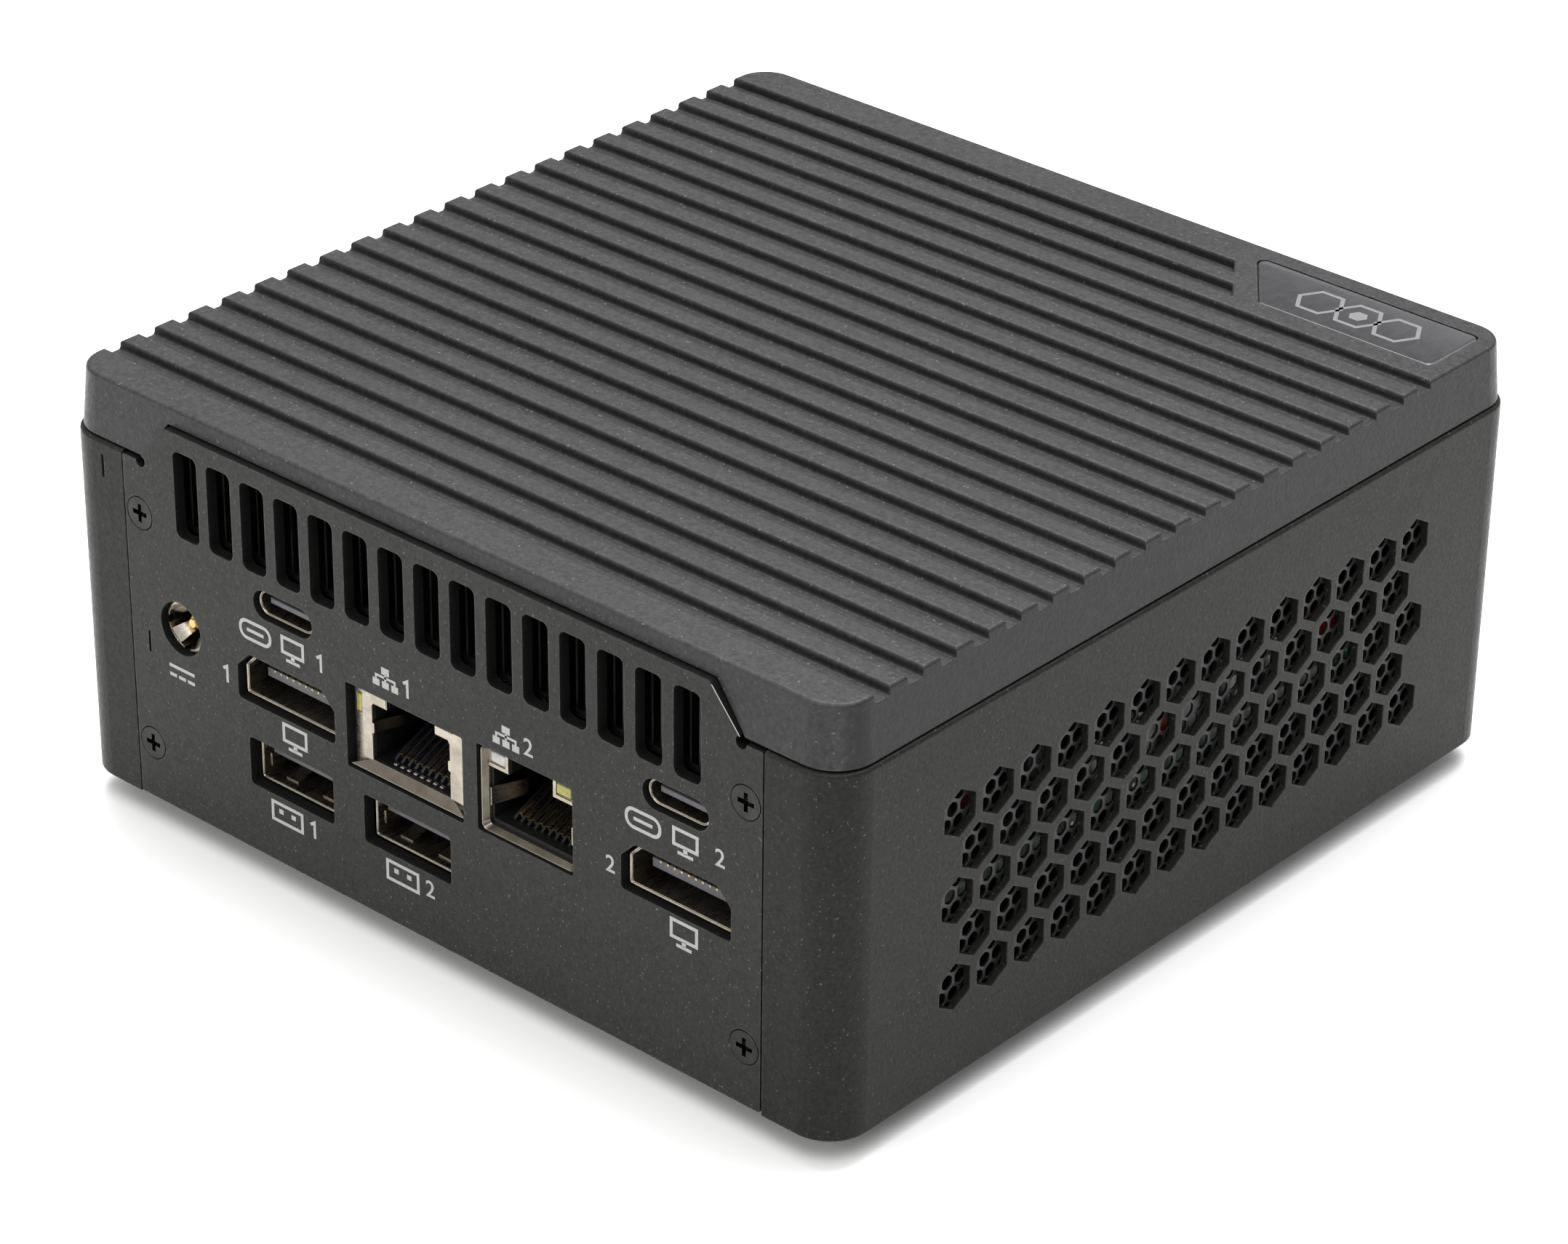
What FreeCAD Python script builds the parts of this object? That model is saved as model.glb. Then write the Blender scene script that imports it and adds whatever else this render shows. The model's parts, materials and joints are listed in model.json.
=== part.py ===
# Small desktop computer: case shells, rear and front connector panels, mainboard with its
# connectors, cooler, radial blower, memory, storage, power button and fasteners.
# Millimetres. +Z up, +Y to the rear connector panel, +X to the left seen from the rear.
# Origin: centre of the footprint, underside of the feet.
import FreeCAD, Part
import Sketcher
import math
import os
from FreeCAD import Vector, Rotation, Placement

os.makedirs("parts", exist_ok=True)
doc = FreeCAD.newDocument("mini_pc")

# ------------------------------------------------------------------ driving dimensions
sheet = doc.addObject("Spreadsheet::Sheet", "dims")
D = {}
ROWS = [
    ("body_w", 117.0), ("body_d", 118.4), ("body_top", 44.42), ("wall", 2.0), ("corner", 5.1),
    ("foot_z", 3.5), ("foot_dia", 12.0), ("foot_inset", 9.3),
    ("seam_z", 44.7), ("lid_z", 52.0), ("lid_inset", 0.35), ("lid_taper", 5.48), ("lid_round", 0.45),
    ("groove_pitch", 5.165), ("groove_wide", 2.35), ("groove_deep", 1.1), ("groove_first", 50.7),
    ("badge_thick", 0.5), ("badge_deep", 0.55),
    ("panel_half", 48.2), ("panel_thick", 1.5), ("panel_gap", 0.2), ("panel_low", 0.2),
    ("slot_pitch", 5.4), ("slot_wide", 3.8), ("slot_low", 36.7), ("slot_tall", 10.8),
    ("hex_pitch", 6.175), ("hex_row", 5.35), ("hex_flats", 5.02), ("hex_low", 11.4),
    ("board_z", 15.7), ("board_thick", 1.6), ("board_w", 103.0), ("board_d", 110.0), ("board_y", 0.2),
    ("rear_face", 58.05), ("front_face", 58.05),
    ("video_w", 15.2), ("video_tall", 5.7), ("video_z", 22.7),
    ("typec_w", 8.95), ("typec_tall", 3.2), ("typec_z", 33.1), ("typec_front_z", 20.9),
    ("typea_w", 13.1), ("typea_tall", 5.7), ("typea_z", 12.0), ("typea_front_z", 21.0),
    ("stack_one", 22.8), ("stack_two", -36.15),
    ("dc_x", 39.9), ("dc_z", 24.7),
    ("jack_low", 17.95), ("jack_tall", 10.3),
    ("rotor_dia", 58.0), ("rotor_y", 6.0), ("rotor_x", 0.0),
    ("button_x", 37.0), ("button_z", 24.0), ("button_dia", 11.2), ("button_travel", 0.5),
    ("audio_x", 24.0), ("audio_z", 21.0), ("audio_bore", 3.6),
    ("pipe_dia", 6.0), ("fin_pitch", 1.35), ("fin_thick", 0.3), ("fin_low", 36.6), ("fin_high", 47.6),
    ("insert_x", 25.0), ("insert_bore", 3.0), ("insert_deep", 5.0),
    ("bottom_thick", 2.0), ("bottom_low", 0.3),
]
for i, (name, value) in enumerate(ROWS, start=1):
    sheet.set("A%d" % i, name)
    sheet.set("B%d" % i, repr(value))
    sheet.setAlias("B%d" % i, name)
    D[name] = value
doc.recompute()

FZ = "dims.foot_z"
NODES = []
COUNT = [0]


def uid(stem):
    COUNT[0] += 1
    return "%s_%d" % (stem, COUNT[0])


def bind(obj, prop, expr):
    obj.setExpression(prop, str(expr))


def place(obj, x, y, z, rot=None):
    if rot is not None:
        obj.Placement = Placement(Vector(0, 0, 0), rot)
    bind(obj, "Placement.Base.x", x)
    bind(obj, "Placement.Base.y", y)
    bind(obj, "Placement.Base.z", "%s + (%s)" % (FZ, z))
    return obj


def box(x0, x1, y0, y1, z0, z1):
    """Box between two corners; heights are measured from the underside of the case."""
    o = doc.addObject("Part::Box", uid("box"))
    bind(o, "Length", "(%s) - (%s)" % (x1, x0))
    bind(o, "Width", "(%s) - (%s)" % (y1, y0))
    bind(o, "Height", "(%s) - (%s)" % (z1, z0))
    return place(o, x0, y0, z0)


AX = {"z": None, "y": Rotation(Vector(1, 0, 0), -90), "-y": Rotation(Vector(1, 0, 0), 90),
      "x": Rotation(Vector(0, 1, 0), 90)}


def cyl(dia, length, x, y, z, axis="z"):
    o = doc.addObject("Part::Cylinder", uid("cyl"))
    bind(o, "Radius", "(%s) / 2" % dia)
    bind(o, "Height", length)
    return place(o, x, y, z, AX[axis])


def cone(d1, d2, length, x, y, z, axis="z"):
    o = doc.addObject("Part::Cone", uid("cone"))
    bind(o, "Radius1", "(%s) / 2" % d1)
    bind(o, "Radius2", "(%s) / 2" % d2)
    bind(o, "Height", length)
    return place(o, x, y, z, AX[axis])


def fuse(*objs):
    if len(objs) == 1:
        return objs[0]
    o = doc.addObject("Part::MultiFuse", uid("fuse"))
    o.Shapes = list(objs)
    o.Refine = True
    return o


def cut(base, *tools):
    o = doc.addObject("Part::Cut", uid("cut"))
    o.Base = base
    o.Tool = fuse(*tools)
    o.Refine = True
    return o


def group(*objs):
    o = doc.addObject("Part::Compound", uid("group"))
    o.Links = list(objs)
    return o


def node(label, obj):
    obj.Label = label
    NODES.append((label, obj))
    return obj


def rounded(obj, radius, test):
    """Part::Fillet on the edges of obj chosen by a test on the edge."""
    doc.recompute()
    picks = [(i, radius, radius) for i, e in enumerate(obj.Shape.Edges, start=1) if test(e)]
    o = doc.addObject("Part::Fillet", uid("fillet"))
    o.Base = obj
    o.Edges = picks
    return o


def chamfered(obj, size, test):
    doc.recompute()
    picks = [(i, size, size) for i, e in enumerate(obj.Shape.Edges, start=1) if test(e)]
    o = doc.addObject("Part::Chamfer", uid("chamfer"))
    o.Base = obj
    o.Edges = picks
    return o


def along(e, axis):
    if len(e.Vertexes) != 2 or e.Curve.TypeId != "Part::GeomLine":
        return False
    d = e.Vertexes[1].Point - e.Vertexes[0].Point
    return abs(abs(getattr(d, axis)) - d.Length) < 1e-6


# ---- sketches -------------------------------------------------------------------------
def poly(sk, pts):
    first = sk.GeometryCount
    n = len(pts)
    for i in range(n):
        sk.addGeometry(Part.LineSegment(Vector(*pts[i], 0), Vector(*pts[(i + 1) % n], 0)), False)
    for i in range(n):
        sk.addConstraint(Sketcher.Constraint("Coincident", first + i, 2, first + (i + 1) % n, 1))
    return first


def rpoly(sk, pts, radii):
    """Closed polygon (counter-clockwise) with rounded corners."""
    n = len(pts)
    if not isinstance(radii, (list, tuple)):
        radii = [radii] * n
    segs = []
    for i in range(n):
        p0, p, p1 = (Vector(*pts[(i - 1) % n], 0), Vector(*pts[i], 0), Vector(*pts[(i + 1) % n], 0))
        u = (p0 - p).normalize()
        v = (p1 - p).normalize()
        r = radii[i]
        if r <= 0:
            segs.append((p, p, None))
            continue
        half = math.acos(max(-1, min(1, u.dot(v)))) / 2
        t = r / math.tan(half)
        a, b = p + u * t, p + v * t
        c = p + (u + v).normalize() * (r / math.sin(half))
        mid = c + (p - c).normalize() * r
        segs.append((a, b, mid))
    for i in range(n):
        a, b, mid = segs[i]
        if mid is not None:
            arc = Part.Arc(a, mid, b)
            sk.addGeometry(arc, False)
        nxt = segs[(i + 1) % n][0]
        if (nxt - b).Length > 1e-7:
            sk.addGeometry(Part.LineSegment(b, nxt), False)


def rect_pts(cx, cz, w, t):
    return [(cx - w / 2, cz - t / 2), (cx + w / 2, cz - t / 2), (cx + w / 2, cz + t / 2), (cx - w / 2, cz + t / 2)]


def circle(sk, x, y, r):
    sk.addGeometry(Part.Circle(Vector(x, y, 0), Vector(0, 0, 1), r), False)


def rrect_bound(sk, w, d, r, wv, dv, rv):
    """Rounded rectangle centred on the origin, its sizes bound to expressions."""
    hw, hd = wv / 2, dv / 2
    g = []
    L = Part.LineSegment
    g.append(sk.addGeometry(L(Vector(-hw + rv, -hd, 0), Vector(hw - rv, -hd, 0)), False))
    g.append(sk.addGeometry(L(Vector(hw, -hd + rv, 0), Vector(hw, hd - rv, 0)), False))
    g.append(sk.addGeometry(L(Vector(hw - rv, hd, 0), Vector(-hw + rv, hd, 0)), False))
    g.append(sk.addGeometry(L(Vector(-hw, hd - rv, 0), Vector(-hw, -hd + rv, 0)), False))
    z = Vector(0, 0, 1)
    pi = math.pi
    arcs = [(hw - rv, -hd + rv, -pi / 2, 0), (hw - rv, hd - rv, 0, pi / 2),
            (-hw + rv, hd - rv, pi / 2, pi), (-hw + rv, -hd + rv, pi, 3 * pi / 2)]
    a = [sk.addGeometry(Part.ArcOfCircle(Part.Circle(Vector(x, y, 0), z, rv), s, e), False) for x, y, s, e in arcs]
    C = Sketcher.Constraint
    for i in range(4):
        sk.addConstraint(C("Tangent", g[i], 2, a[i], 1))
        sk.addConstraint(C("Tangent", a[i], 2, g[(i + 1) % 4], 1))
    sk.addConstraint(C("Horizontal", g[0]))
    sk.addConstraint(C("Vertical", g[1]))
    sk.addConstraint(C("Horizontal", g[2]))
    sk.addConstraint(C("Vertical", g[3]))
    for i in (1, 2, 3):
        sk.addConstraint(C("Equal", a[0], a[i]))
    i = sk.addConstraint(C("DistanceX", -1, 1, g[1], 2, wv / 2))
    sk.setExpression("Constraints[%d]" % i, "(%s) / 2" % w)
    i = sk.addConstraint(C("DistanceX", g[3], 1, g[1], 2, wv))
    sk.setExpression("Constraints[%d]" % i, w)
    i = sk.addConstraint(C("DistanceY", -1, 1, g[2], 2, dv / 2))
    sk.setExpression("Constraints[%d]" % i, "(%s) / 2" % d)
    i = sk.addConstraint(C("DistanceY", g[0], 1, g[2], 2, dv))
    sk.setExpression("Constraints[%d]" % i, d)
    i = sk.addConstraint(C("Radius", a[0], rv))
    sk.setExpression("Constraints[%d]" % i, r)


def body(label):
    b = doc.addObject("PartDesign::Body", uid("body"))
    b.Label = label
    bind(b, "Placement.Base.z", FZ)
    return b


def origin_plane(b, role):
    return [f for f in b.Origin.OriginFeatures if f.Role == role][0]


def sketch(b, name, role="XY_Plane", offset=None):
    s = b.newObject("Sketcher::SketchObject", uid(name))
    s.AttachmentSupport = [(origin_plane(b, role), "")]
    s.MapMode = "FlatFace"
    if offset is not None:
        s.setExpression("AttachmentOffset.Base.z", str(offset))
    return s


def pad(b, sk, length, reverse=False, mid=False, taper=None):
    p = b.newObject("PartDesign::Pad", uid("pad"))
    p.Profile = sk
    bind(p, "Length", length)
    p.Reversed = reverse
    p.Midplane = mid
    if taper is not None:
        bind(p, "TaperAngle", taper)
    doc.recompute()
    return p


def pocket(b, sk, length=None, reverse=False, mid=False):
    p = b.newObject("PartDesign::Pocket", uid("pocket"))
    p.Profile = sk
    if length is None:
        p.Type = 1
    else:
        bind(p, "Length", length)
    p.Reversed = reverse
    p.Midplane = mid
    doc.recompute()
    return p


def linear(b, feature, axis_role, length, count, reverse=False):
    m = b.newObject("PartDesign::LinearPattern", uid("row"))
    m.Originals = [feature]
    m.Direction = (origin_plane(b, axis_role), [""])
    bind(m, "Length", length)
    m.Occurrences = count
    m.Reversed = reverse
    b.Tip = m
    doc.recompute()
    return m


HD = D["body_d"] / 2

# ======================================================================= case: lower shell
b = body("main_body")
s = sketch(b, "outline")
rrect_bound(s, "dims.body_w", "dims.body_d", "dims.corner", D["body_w"], D["body_d"], D["corner"])
pad(b, s, "dims.body_top")
s = sketch(b, "hollow")
rrect_bound(s, "dims.body_w - 2 * dims.wall", "dims.body_d - 2 * dims.wall", "dims.corner - dims.wall",
            D["body_w"] - 4, D["body_d"] - 4, 3.1)
pocket(b, s, None, mid=True)
# rear and front panel flanges, corner posts
s = sketch(b, "flanges", offset="dims.bottom_low + dims.bottom_thick + 0.1")
for sx in (1, -1):
    for sy in (1, -1):
        x0, x1 = sorted((sx * 44.5, sx * 56.6))
        y0, y1 = sorted((sy * 55.5, sy * 57.6))
        poly(s, [(x0, y0), (x1, y0), (x1, y1), (x0, y1)])
pad(b, s, "dims.body_top - 2.3 - dims.bottom_low - dims.bottom_thick - 0.1")
s = sketch(b, "ledge", offset="dims.bottom_low + dims.bottom_thick + 0.1")
poly(s, [(-56.6, -57.55), (56.6, -57.55), (56.6, 57.55), (-56.6, 57.55)])
poly(s, [(-52.5, -53.2), (52.5, -53.2), (52.5, 53.2), (-52.5, 53.2)])
pad(b, s, "1.6")
s = sketch(b, "posts", offset="dims.bottom_low + dims.bottom_thick + 0.1")
for sx in (1, -1):
    for yc in (51.2, -50.8):
        x0, x1 = sorted((sx * 43.5, sx * 56.6))
        y0, y1 = sorted((math.copysign(47.0, yc), math.copysign(55.6, yc)))
        poly(s, [(x0, y0), (x1, y0), (x1, y1), (x0, y1)])
pad(b, s, "dims.board_z - dims.bottom_low - dims.bottom_thick - 0.15")
s = sketch(b, "bosses", offset="dims.bottom_low + dims.bottom_thick + 0.1")
for sx in (1, -1):
    for sy in (1, -1):
        x0, x1 = sorted((sx * 45.2, sx * 56.6))
        y0, y1 = sorted((sy * 32.0, sy * 40.0))
        poly(s, [(x0, y0), (x1, y0), (x1, y1), (x0, y1)])
pad(b, s, "5.2")
# panel openings, rear and front, cut from behind the case wall
for sy in (1, -1):
    s = sketch(b, "seat", offset="-1")
    y0, y1 = sorted((sy * (HD - D["panel_thick"] - 0.1), sy * (HD + 3)))
    poly(s, [(-48.4, y0), (48.4, y0), (48.4, y1), (-48.4, y1)])
    pocket(b, s, "60", reverse=True)
    s = sketch(b, "window", offset="4.0")
    y0, y1 = sorted((sy * 53.0, sy * (HD + 3)))
    poly(s, [(-44.5, y0), (44.5, y0), (44.5, y1), (-44.5, y1)])
    pocket(b, s, "60", reverse=True)
# pilot holes: board screws, bottom cover screws
s = sketch(b, "board_pilots", offset="dims.board_z")
for sx in (1, -1):
    for yc in (51.2, -50.8):
        circle(s, sx * 47.5, yc, 1.25)
pocket(b, s, "7")
s = sketch(b, "cover_pilots", offset="0")
for sx in (1, -1):
    for sy in (1, -1):
        circle(s, sx * 49.2, sy * 36.0, 1.25)
pocket(b, s, "7.2", reverse=True)
s = sketch(b, "panel_pilots", "XZ_Plane", offset="-50")
for sx in (1, -1):
    for zc in (37.35, 7.4):
        circle(s, sx * 45.85, zc, 0.8)
pocket(b, s, "12")
# small slit beside the upper corner of the rear panel
s = sketch(b, "slit", "XZ_Plane", offset="-dims.body_d / 2 + 1.2")
rpoly(s, rect_pts(51.7, 41.3, 0.42, 3.0), 0.2)
pocket(b, s, "4")
# the side walls are thinned behind the vents, where the meshes sit
s = sketch(b, "vent_seat", "YZ_Plane")
poly(s, [(-45.6, 7.8), (45.6, 7.8), (45.6, 36.5), (-45.6, 36.5)])
pocket(b, s, "dims.body_w - 1.8", mid=True)
# honeycomb vents through both side walls
rf = D["hex_flats"] / 2
rv = rf / math.cos(math.pi / 6)


def hexagon(cy, cz, r):
    return [(cy + r * math.cos(math.pi / 6 + k * math.pi / 3), cz + r * math.sin(math.pi / 6 + k * math.pi / 3)) for k in range(6)]


for count, row0, rows in ((14, 0, 3), (13, 1, 2)):
    s = sketch(b, "vent", "YZ_Plane")
    first = poly(s, hexagon(-(count - 1) / 2 * D["hex_pitch"], D["hex_low"] + row0 * D["hex_row"], rv))
    g0 = pocket(b, s, None, mid=True)
    m = b.newObject("PartDesign::MultiTransform", uid("vents"))
    m.Originals = [g0]
    l1 = doc.addObject("PartDesign::LinearPattern", uid("row"))
    l1.Direction = (origin_plane(b, "Y_Axis"), [""])
    bind(l1, "Length", "%d * dims.hex_pitch" % (count - 1))
    l1.Occurrences = count
    l2 = doc.addObject("PartDesign::LinearPattern", uid("row"))
    l2.Direction = (origin_plane(b, "Z_Axis"), [""])
    bind(l2, "Length", "%d * dims.hex_row" % (2 * (rows - 1)))
    l2.Occurrences = rows
    b.addObject(l1)
    b.addObject(l2)
    m.Transformations = [l1, l2]
    b.Tip = m
    doc.recompute()
body_base = b
top_z = D["body_top"] + D["foot_z"]
main = rounded(b, 0.45, lambda e: abs(e.BoundBox.ZMin - top_z) < 1e-4 and abs(e.BoundBox.ZMax - top_z) < 1e-4 and (
    (abs(e.BoundBox.XMin) > 58.4 and abs(e.BoundBox.XMax) > 58.4 and e.BoundBox.YLength > 50) or
    (e.Curve.TypeId == "Part::GeomCircle" and abs(e.Curve.Radius - D["corner"]) < 1e-3)))
node("main_body", main)

# ======================================================================= case: top cover
b = body("top_cover")
s = sketch(b, "outline", offset="dims.seam_z")
rrect_bound(s, "dims.body_w - 2 * dims.lid_inset", "dims.body_d - 2 * dims.lid_inset", "dims.corner - 0.15",
            D["body_w"] - 0.7, D["body_d"] - 0.7, 4.95)
pad(b, s, "dims.lid_z - dims.seam_z", taper="-dims.lid_taper")
s = sketch(b, "hollow", offset="dims.seam_z")
rrect_bound(s, "dims.body_w - 6.8", "dims.body_d - 6.8", "2.0", D["body_w"] - 6.8, D["body_d"] - 6.8, 2.0)
pocket(b, s, "4.7", reverse=True)
s = sketch(b, "lip", offset="dims.seam_z + 0.5")
rrect_bound(s, "dims.body_w - 4.4", "dims.body_d - 4.4", "2.8", D["body_w"] - 4.4, D["body_d"] - 4.4, 2.8)
rrect_bound(s, "dims.body_w - 6.8", "dims.body_d - 6.8", "2.0", D["body_w"] - 6.8, D["body_d"] - 6.8, 2.0)
pad(b, s, "3.0", reverse=True)
# rear: seat for the connector panel's upper tab, and the exhaust notch behind it
s = sketch(b, "tab_seat", "XZ_Plane", offset="-57.6")
poly(s, [(-45.4, 41), (45.4, 41), (45.4, 44.75), (41.1, 49.9), (-41.1, 49.9), (-45.4, 44.75)])
pocket(b, s, "5")
s = sketch(b, "exhaust", "XZ_Plane", offset="-52")
poly(s, [(-44.3, 41), (44.3, 41), (44.3, 44.0), (41.5, 48.3), (-41.5, 48.3), (-44.3, 44.0)])
pocket(b, s, "10")
# front: the lip stops beside the front panel
s = sketch(b, "front_relief", "XZ_Plane", offset="52")
poly(s, [(-57, 41), (57, 41), (57, 44.7), (-57, 44.7)])
pocket(b, s, "10", reverse=True)
# grooves across the top, open at both sides
s = sketch(b, "groove", "YZ_Plane")
y0 = D["groove_first"]
rpoly(s, [(y0, D["lid_z"] - D["groove_deep"]), (y0 + D["groove_wide"], D["lid_z"] - D["groove_deep"]),
          (y0 + D["groove_wide"], D["lid_z"] + 2), (y0, D["lid_z"] + 2)], [0.35, 0.35, 0, 0])
g0 = pocket(b, s, None, mid=True)
linear(b, g0, "Y_Axis", "18 * dims.groove_pitch", 19, reverse=True)
s = sketch(b, "short_grooves", offset="dims.lid_z")
for k in (19, 20):
    ya = D["groove_first"] - k * D["groove_pitch"]
    yb = ya + D["groove_wide"]
    xa = -22.0 - (ya + 52.6) * 0.716
    xb = -22.0 - (yb + 52.6) * 0.716
    poly(s, [(xa, ya), (70, ya), (70, yb), (xb, yb)])
pocket(b, s, "dims.groove_deep")
# rounded top edges of every rib
f = b.newObject("PartDesign::Fillet", "rib_edges")
tip = b.Tip if b.Tip.Name != f.Name else f.BaseFeature
zt = D["lid_z"]
base_shape = doc.getObject(g0.Name).Shape
prev = [o for o in b.Group if o.TypeId == "PartDesign::Pocket"][-1]
names = []
for i, e in enumerate(prev.Shape.Edges, start=1):
    bb = e.BoundBox
    if abs(bb.ZMin - zt) < 1e-4 and abs(bb.ZMax - zt) < 1e-4:
        names.append("Edge%d" % i)
f.Base = (prev, names)
bind(f, "Radius", "dims.lid_round")
b.Tip = f
doc.recompute()
# shallow recess for the badge plate
BADGE = [(-55.25, -55.4), (-23.2, -55.4), (-30.95, -45.35), (-55.25, -45.35)]
s = sketch(b, "badge_recess", offset="dims.lid_z")
rpoly(s, BADGE, [1.0, 1.0, 1.0, 1.0])
pocket(b, s, "dims.badge_deep")
node("top_cover", b)

b = body("badge_plate")
s = sketch(b, "plate", offset="dims.lid_z - dims.badge_deep")
rpoly(s, [(-55.1, -55.25), (-23.5, -55.25), (-31.02, -45.5), (-55.1, -45.5)], [0.88, 0.88, 0.88, 0.88])
pad(b, s, "dims.badge_thick")
node("badge_plate", b)

# ======================================================================= rear connector panel
b = body("rear_io_panel")
s = sketch(b, "outline", "XZ_Plane", offset="-dims.body_d / 2")
ph = D["panel_half"]
rpoly(s, [(-ph, 0.2), (ph, 0.2), (ph, 44.2), (45.2, 44.2), (45.2, 44.7), (40.9, 49.7), (-40.9, 49.7), (-45.2, 44.7),
          (-45.2, 44.2), (-ph, 44.2)], [0.3, 0.3, 0.3, 0, 0.2, 0.5, 0.5, 0.2, 0, 0.3])
pad(b, s, "dims.panel_thick")
s = sketch(b, "slot", "XZ_Plane", offset="-dims.body_d / 2 - 1")
rpoly(s, rect_pts(-7 * D["slot_pitch"], D["slot_low"] + D["slot_tall"] / 2, D["slot_wide"], D["slot_tall"]), 0.9)
g0 = pocket(b, s, "4", reverse=True)
linear(b, g0, "X_Axis", "14 * dims.slot_pitch", 15)
s = sketch(b, "cutouts", "XZ_Plane", offset="-dims.body_d / 2 - 1")


def video_pts(cx, cz, w, t, c=2.0):
    return [(cx - w / 2, cz - t / 2), (cx + w / 2, cz - t / 2), (cx + w / 2, cz + t / 2 - c), (cx + w / 2 - c, cz + t / 2),
            (cx - w / 2 + c, cz + t / 2), (cx - w / 2, cz + t / 2 - c)]


for cx in (D["stack_one"], D["stack_two"]):
    rpoly(s, video_pts(cx, D["video_z"], 15.6, 6.1, 2.0), 0.5)
    rpoly(s, rect_pts(cx, D["typec_z"], 9.35, 3.6), 1.79)
for cx in (22.4, 4.0):
    rpoly(s, rect_pts(cx, D["typea_z"], 13.5, 6.1), 0.5)
rpoly(s, rect_pts(4.1, 23.1, 18.0, 10.7), 0.25)
rpoly(s, rect_pts(-14.2, 23.4, 14.2, 10.8), 0.25)
circle(s, D["dc_x"], D["dc_z"], 3.3)
rpoly(s, rect_pts(45.35, 21.1, 0.36, 2.8), 0.17)
for sx in (1, -1):
    circle(s, sx * 45.2, 44.2, 0.75)
pocket(b, s, "4", reverse=True)
holes = []
for sx in (1, -1):
    for zc in (37.35, 7.4):
        holes.append(cyl("2.2", "4", sx * 45.85, "dims.body_d / 2 - 2.5", zc, "y"))
        holes.append(cone("2.2", "4.5", "1.15", sx * 45.85, "dims.body_d / 2 - 1.05", zc, "y"))
node("rear_io_panel", cut(b, *holes))


def csk_screw(x, z):
    head = cone("1.9", "3.9", "1.0", x, "dims.body_d / 2 - 1.15", z, "y")
    disc = cyl("3.9", "0.12", x, "dims.body_d / 2 - 0.151", z, "y")
    shank = cyl("1.6", "5.0", x, "dims.body_d / 2 - 6.1", z, "y")
    c1 = box("%s - 0.3" % x, "%s + 0.3" % x, "dims.body_d / 2 - 0.75", "dims.body_d / 2 + 1", "%s - 1.15" % z, "%s + 1.15" % z)
    c2 = box("%s - 1.15" % x, "%s + 1.15" % x, "dims.body_d / 2 - 0.75", "dims.body_d / 2 + 1", "%s - 0.3" % z, "%s + 0.3" % z)
    return cut(fuse(head, disc, shank), c1, c2)


node("rear_panel_screws", group(*[csk_screw(sx * 45.85, zc) for sx in (1, -1) for zc in (37.35, 7.4)]))

# ======================================================================= front panel
b = body("front_panel")
s = sketch(b, "outline", "XZ_Plane", offset="dims.body_d / 2 - dims.panel_thick")
rpoly(s, [(-ph, 0.2), (ph, 0.2), (ph, 44.2), (-ph, 44.2)], 0.3)
pad(b, s, "dims.panel_thick")
s = sketch(b, "cutouts", "XZ_Plane", offset="dims.body_d / 2 - 5")
rpoly(s, rect_pts(-28.0, D["typec_front_z"], 9.35, 3.6), 1.79)
for cx in (-10.0, 9.0):
    rpoly(s, rect_pts(cx, D["typea_front_z"], 13.5, 6.1), 0.5)
circle(s, D["audio_x"], D["audio_z"], 3.2)
circle(s, D["button_x"], D["button_z"], 6.75)
pocket(b, s, "12", reverse=True)
node("front_panel", b)

# power button, its lit ring and the switch behind it
FY = "-dims.body_d / 2"
cap = cyl("dims.button_dia", "2.4", "dims.button_x", FY + " + 0.15", "dims.button_z", "y")
cap = rounded(cap, 0.4, lambda e: e.Curve.TypeId == "Part::GeomCircle" and e.BoundBox.YMax < -59.0)
flange = cyl("dims.button_dia + 1.4", "0.8", "dims.button_x", FY + " + 2.55", "dims.button_z", "y")
stem = cyl("3.0", "2.4", "dims.button_x", FY + " + 3.3", "dims.button_z", "y")
node("power_button", fuse(cap, flange, stem))
ring = cut(cyl("13.4", "2.3", "dims.button_x", FY + " + 0.1", "dims.button_z", "y"),
           cyl("11.7", "3.3", "dims.button_x", FY + " - 0.4", "dims.button_z", "y"))
node("power_button_light_pipe", ring)
node("power_switch_plunger", cyl("3.2", "2.3", "dims.button_x", FY + " + 5.7", "dims.button_z", "y"))
sw = box("dims.button_x - 3.4", "dims.button_x + 3.4", FY + " + 6.8", FY + " + 10.8", "17.3", "27.6")
node("power_switch_body", cut(sw, cyl("3.5", "3.0", "dims.button_x", FY + " + 6.2", "dims.button_z", "y")))

# ======================================================================= bottom cover and feet
b = body("bottom_cover")
s = sketch(b, "plate", offset="dims.bottom_low")
rrect_bound(s, "112.4", "113.8", "2.9", 112.4, 113.8, 2.9)
pad(b, s, "dims.bottom_thick")
s = sketch(b, "insert_bosses", offset="dims.bottom_low + dims.bottom_thick - 0.2")
for sx in (1, -1):
    circle(s, sx * D["insert_x"], 0, 3.4)
pad(b, s, "4.0")
s = sketch(b, "insert_holes", offset="dims.bottom_low - 0.5")
for sx in (1, -1):
    circle(s, sx * D["insert_x"], 0, 2.2)
pocket(b, s, "5.7", reverse=True)
s = sketch(b, "intake", offset="dims.bottom_low - 0.5")
rpoly(s, rect_pts(-38.4, -22.0, 2.2, 22.0), 1.09)
g0 = pocket(b, s, "4", reverse=True)
linear(b, g0, "X_Axis", "76.8", 17)
s = sketch(b, "screw_holes", offset="dims.bottom_low - 0.5")
for sx in (1, -1):
    for sy in (1, -1):
        circle(s, sx * 49.2, sy * 36.0, 1.6)
pocket(b, s, "4", reverse=True)
s = sketch(b, "screw_seats", offset="dims.bottom_low - 0.5")
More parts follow.
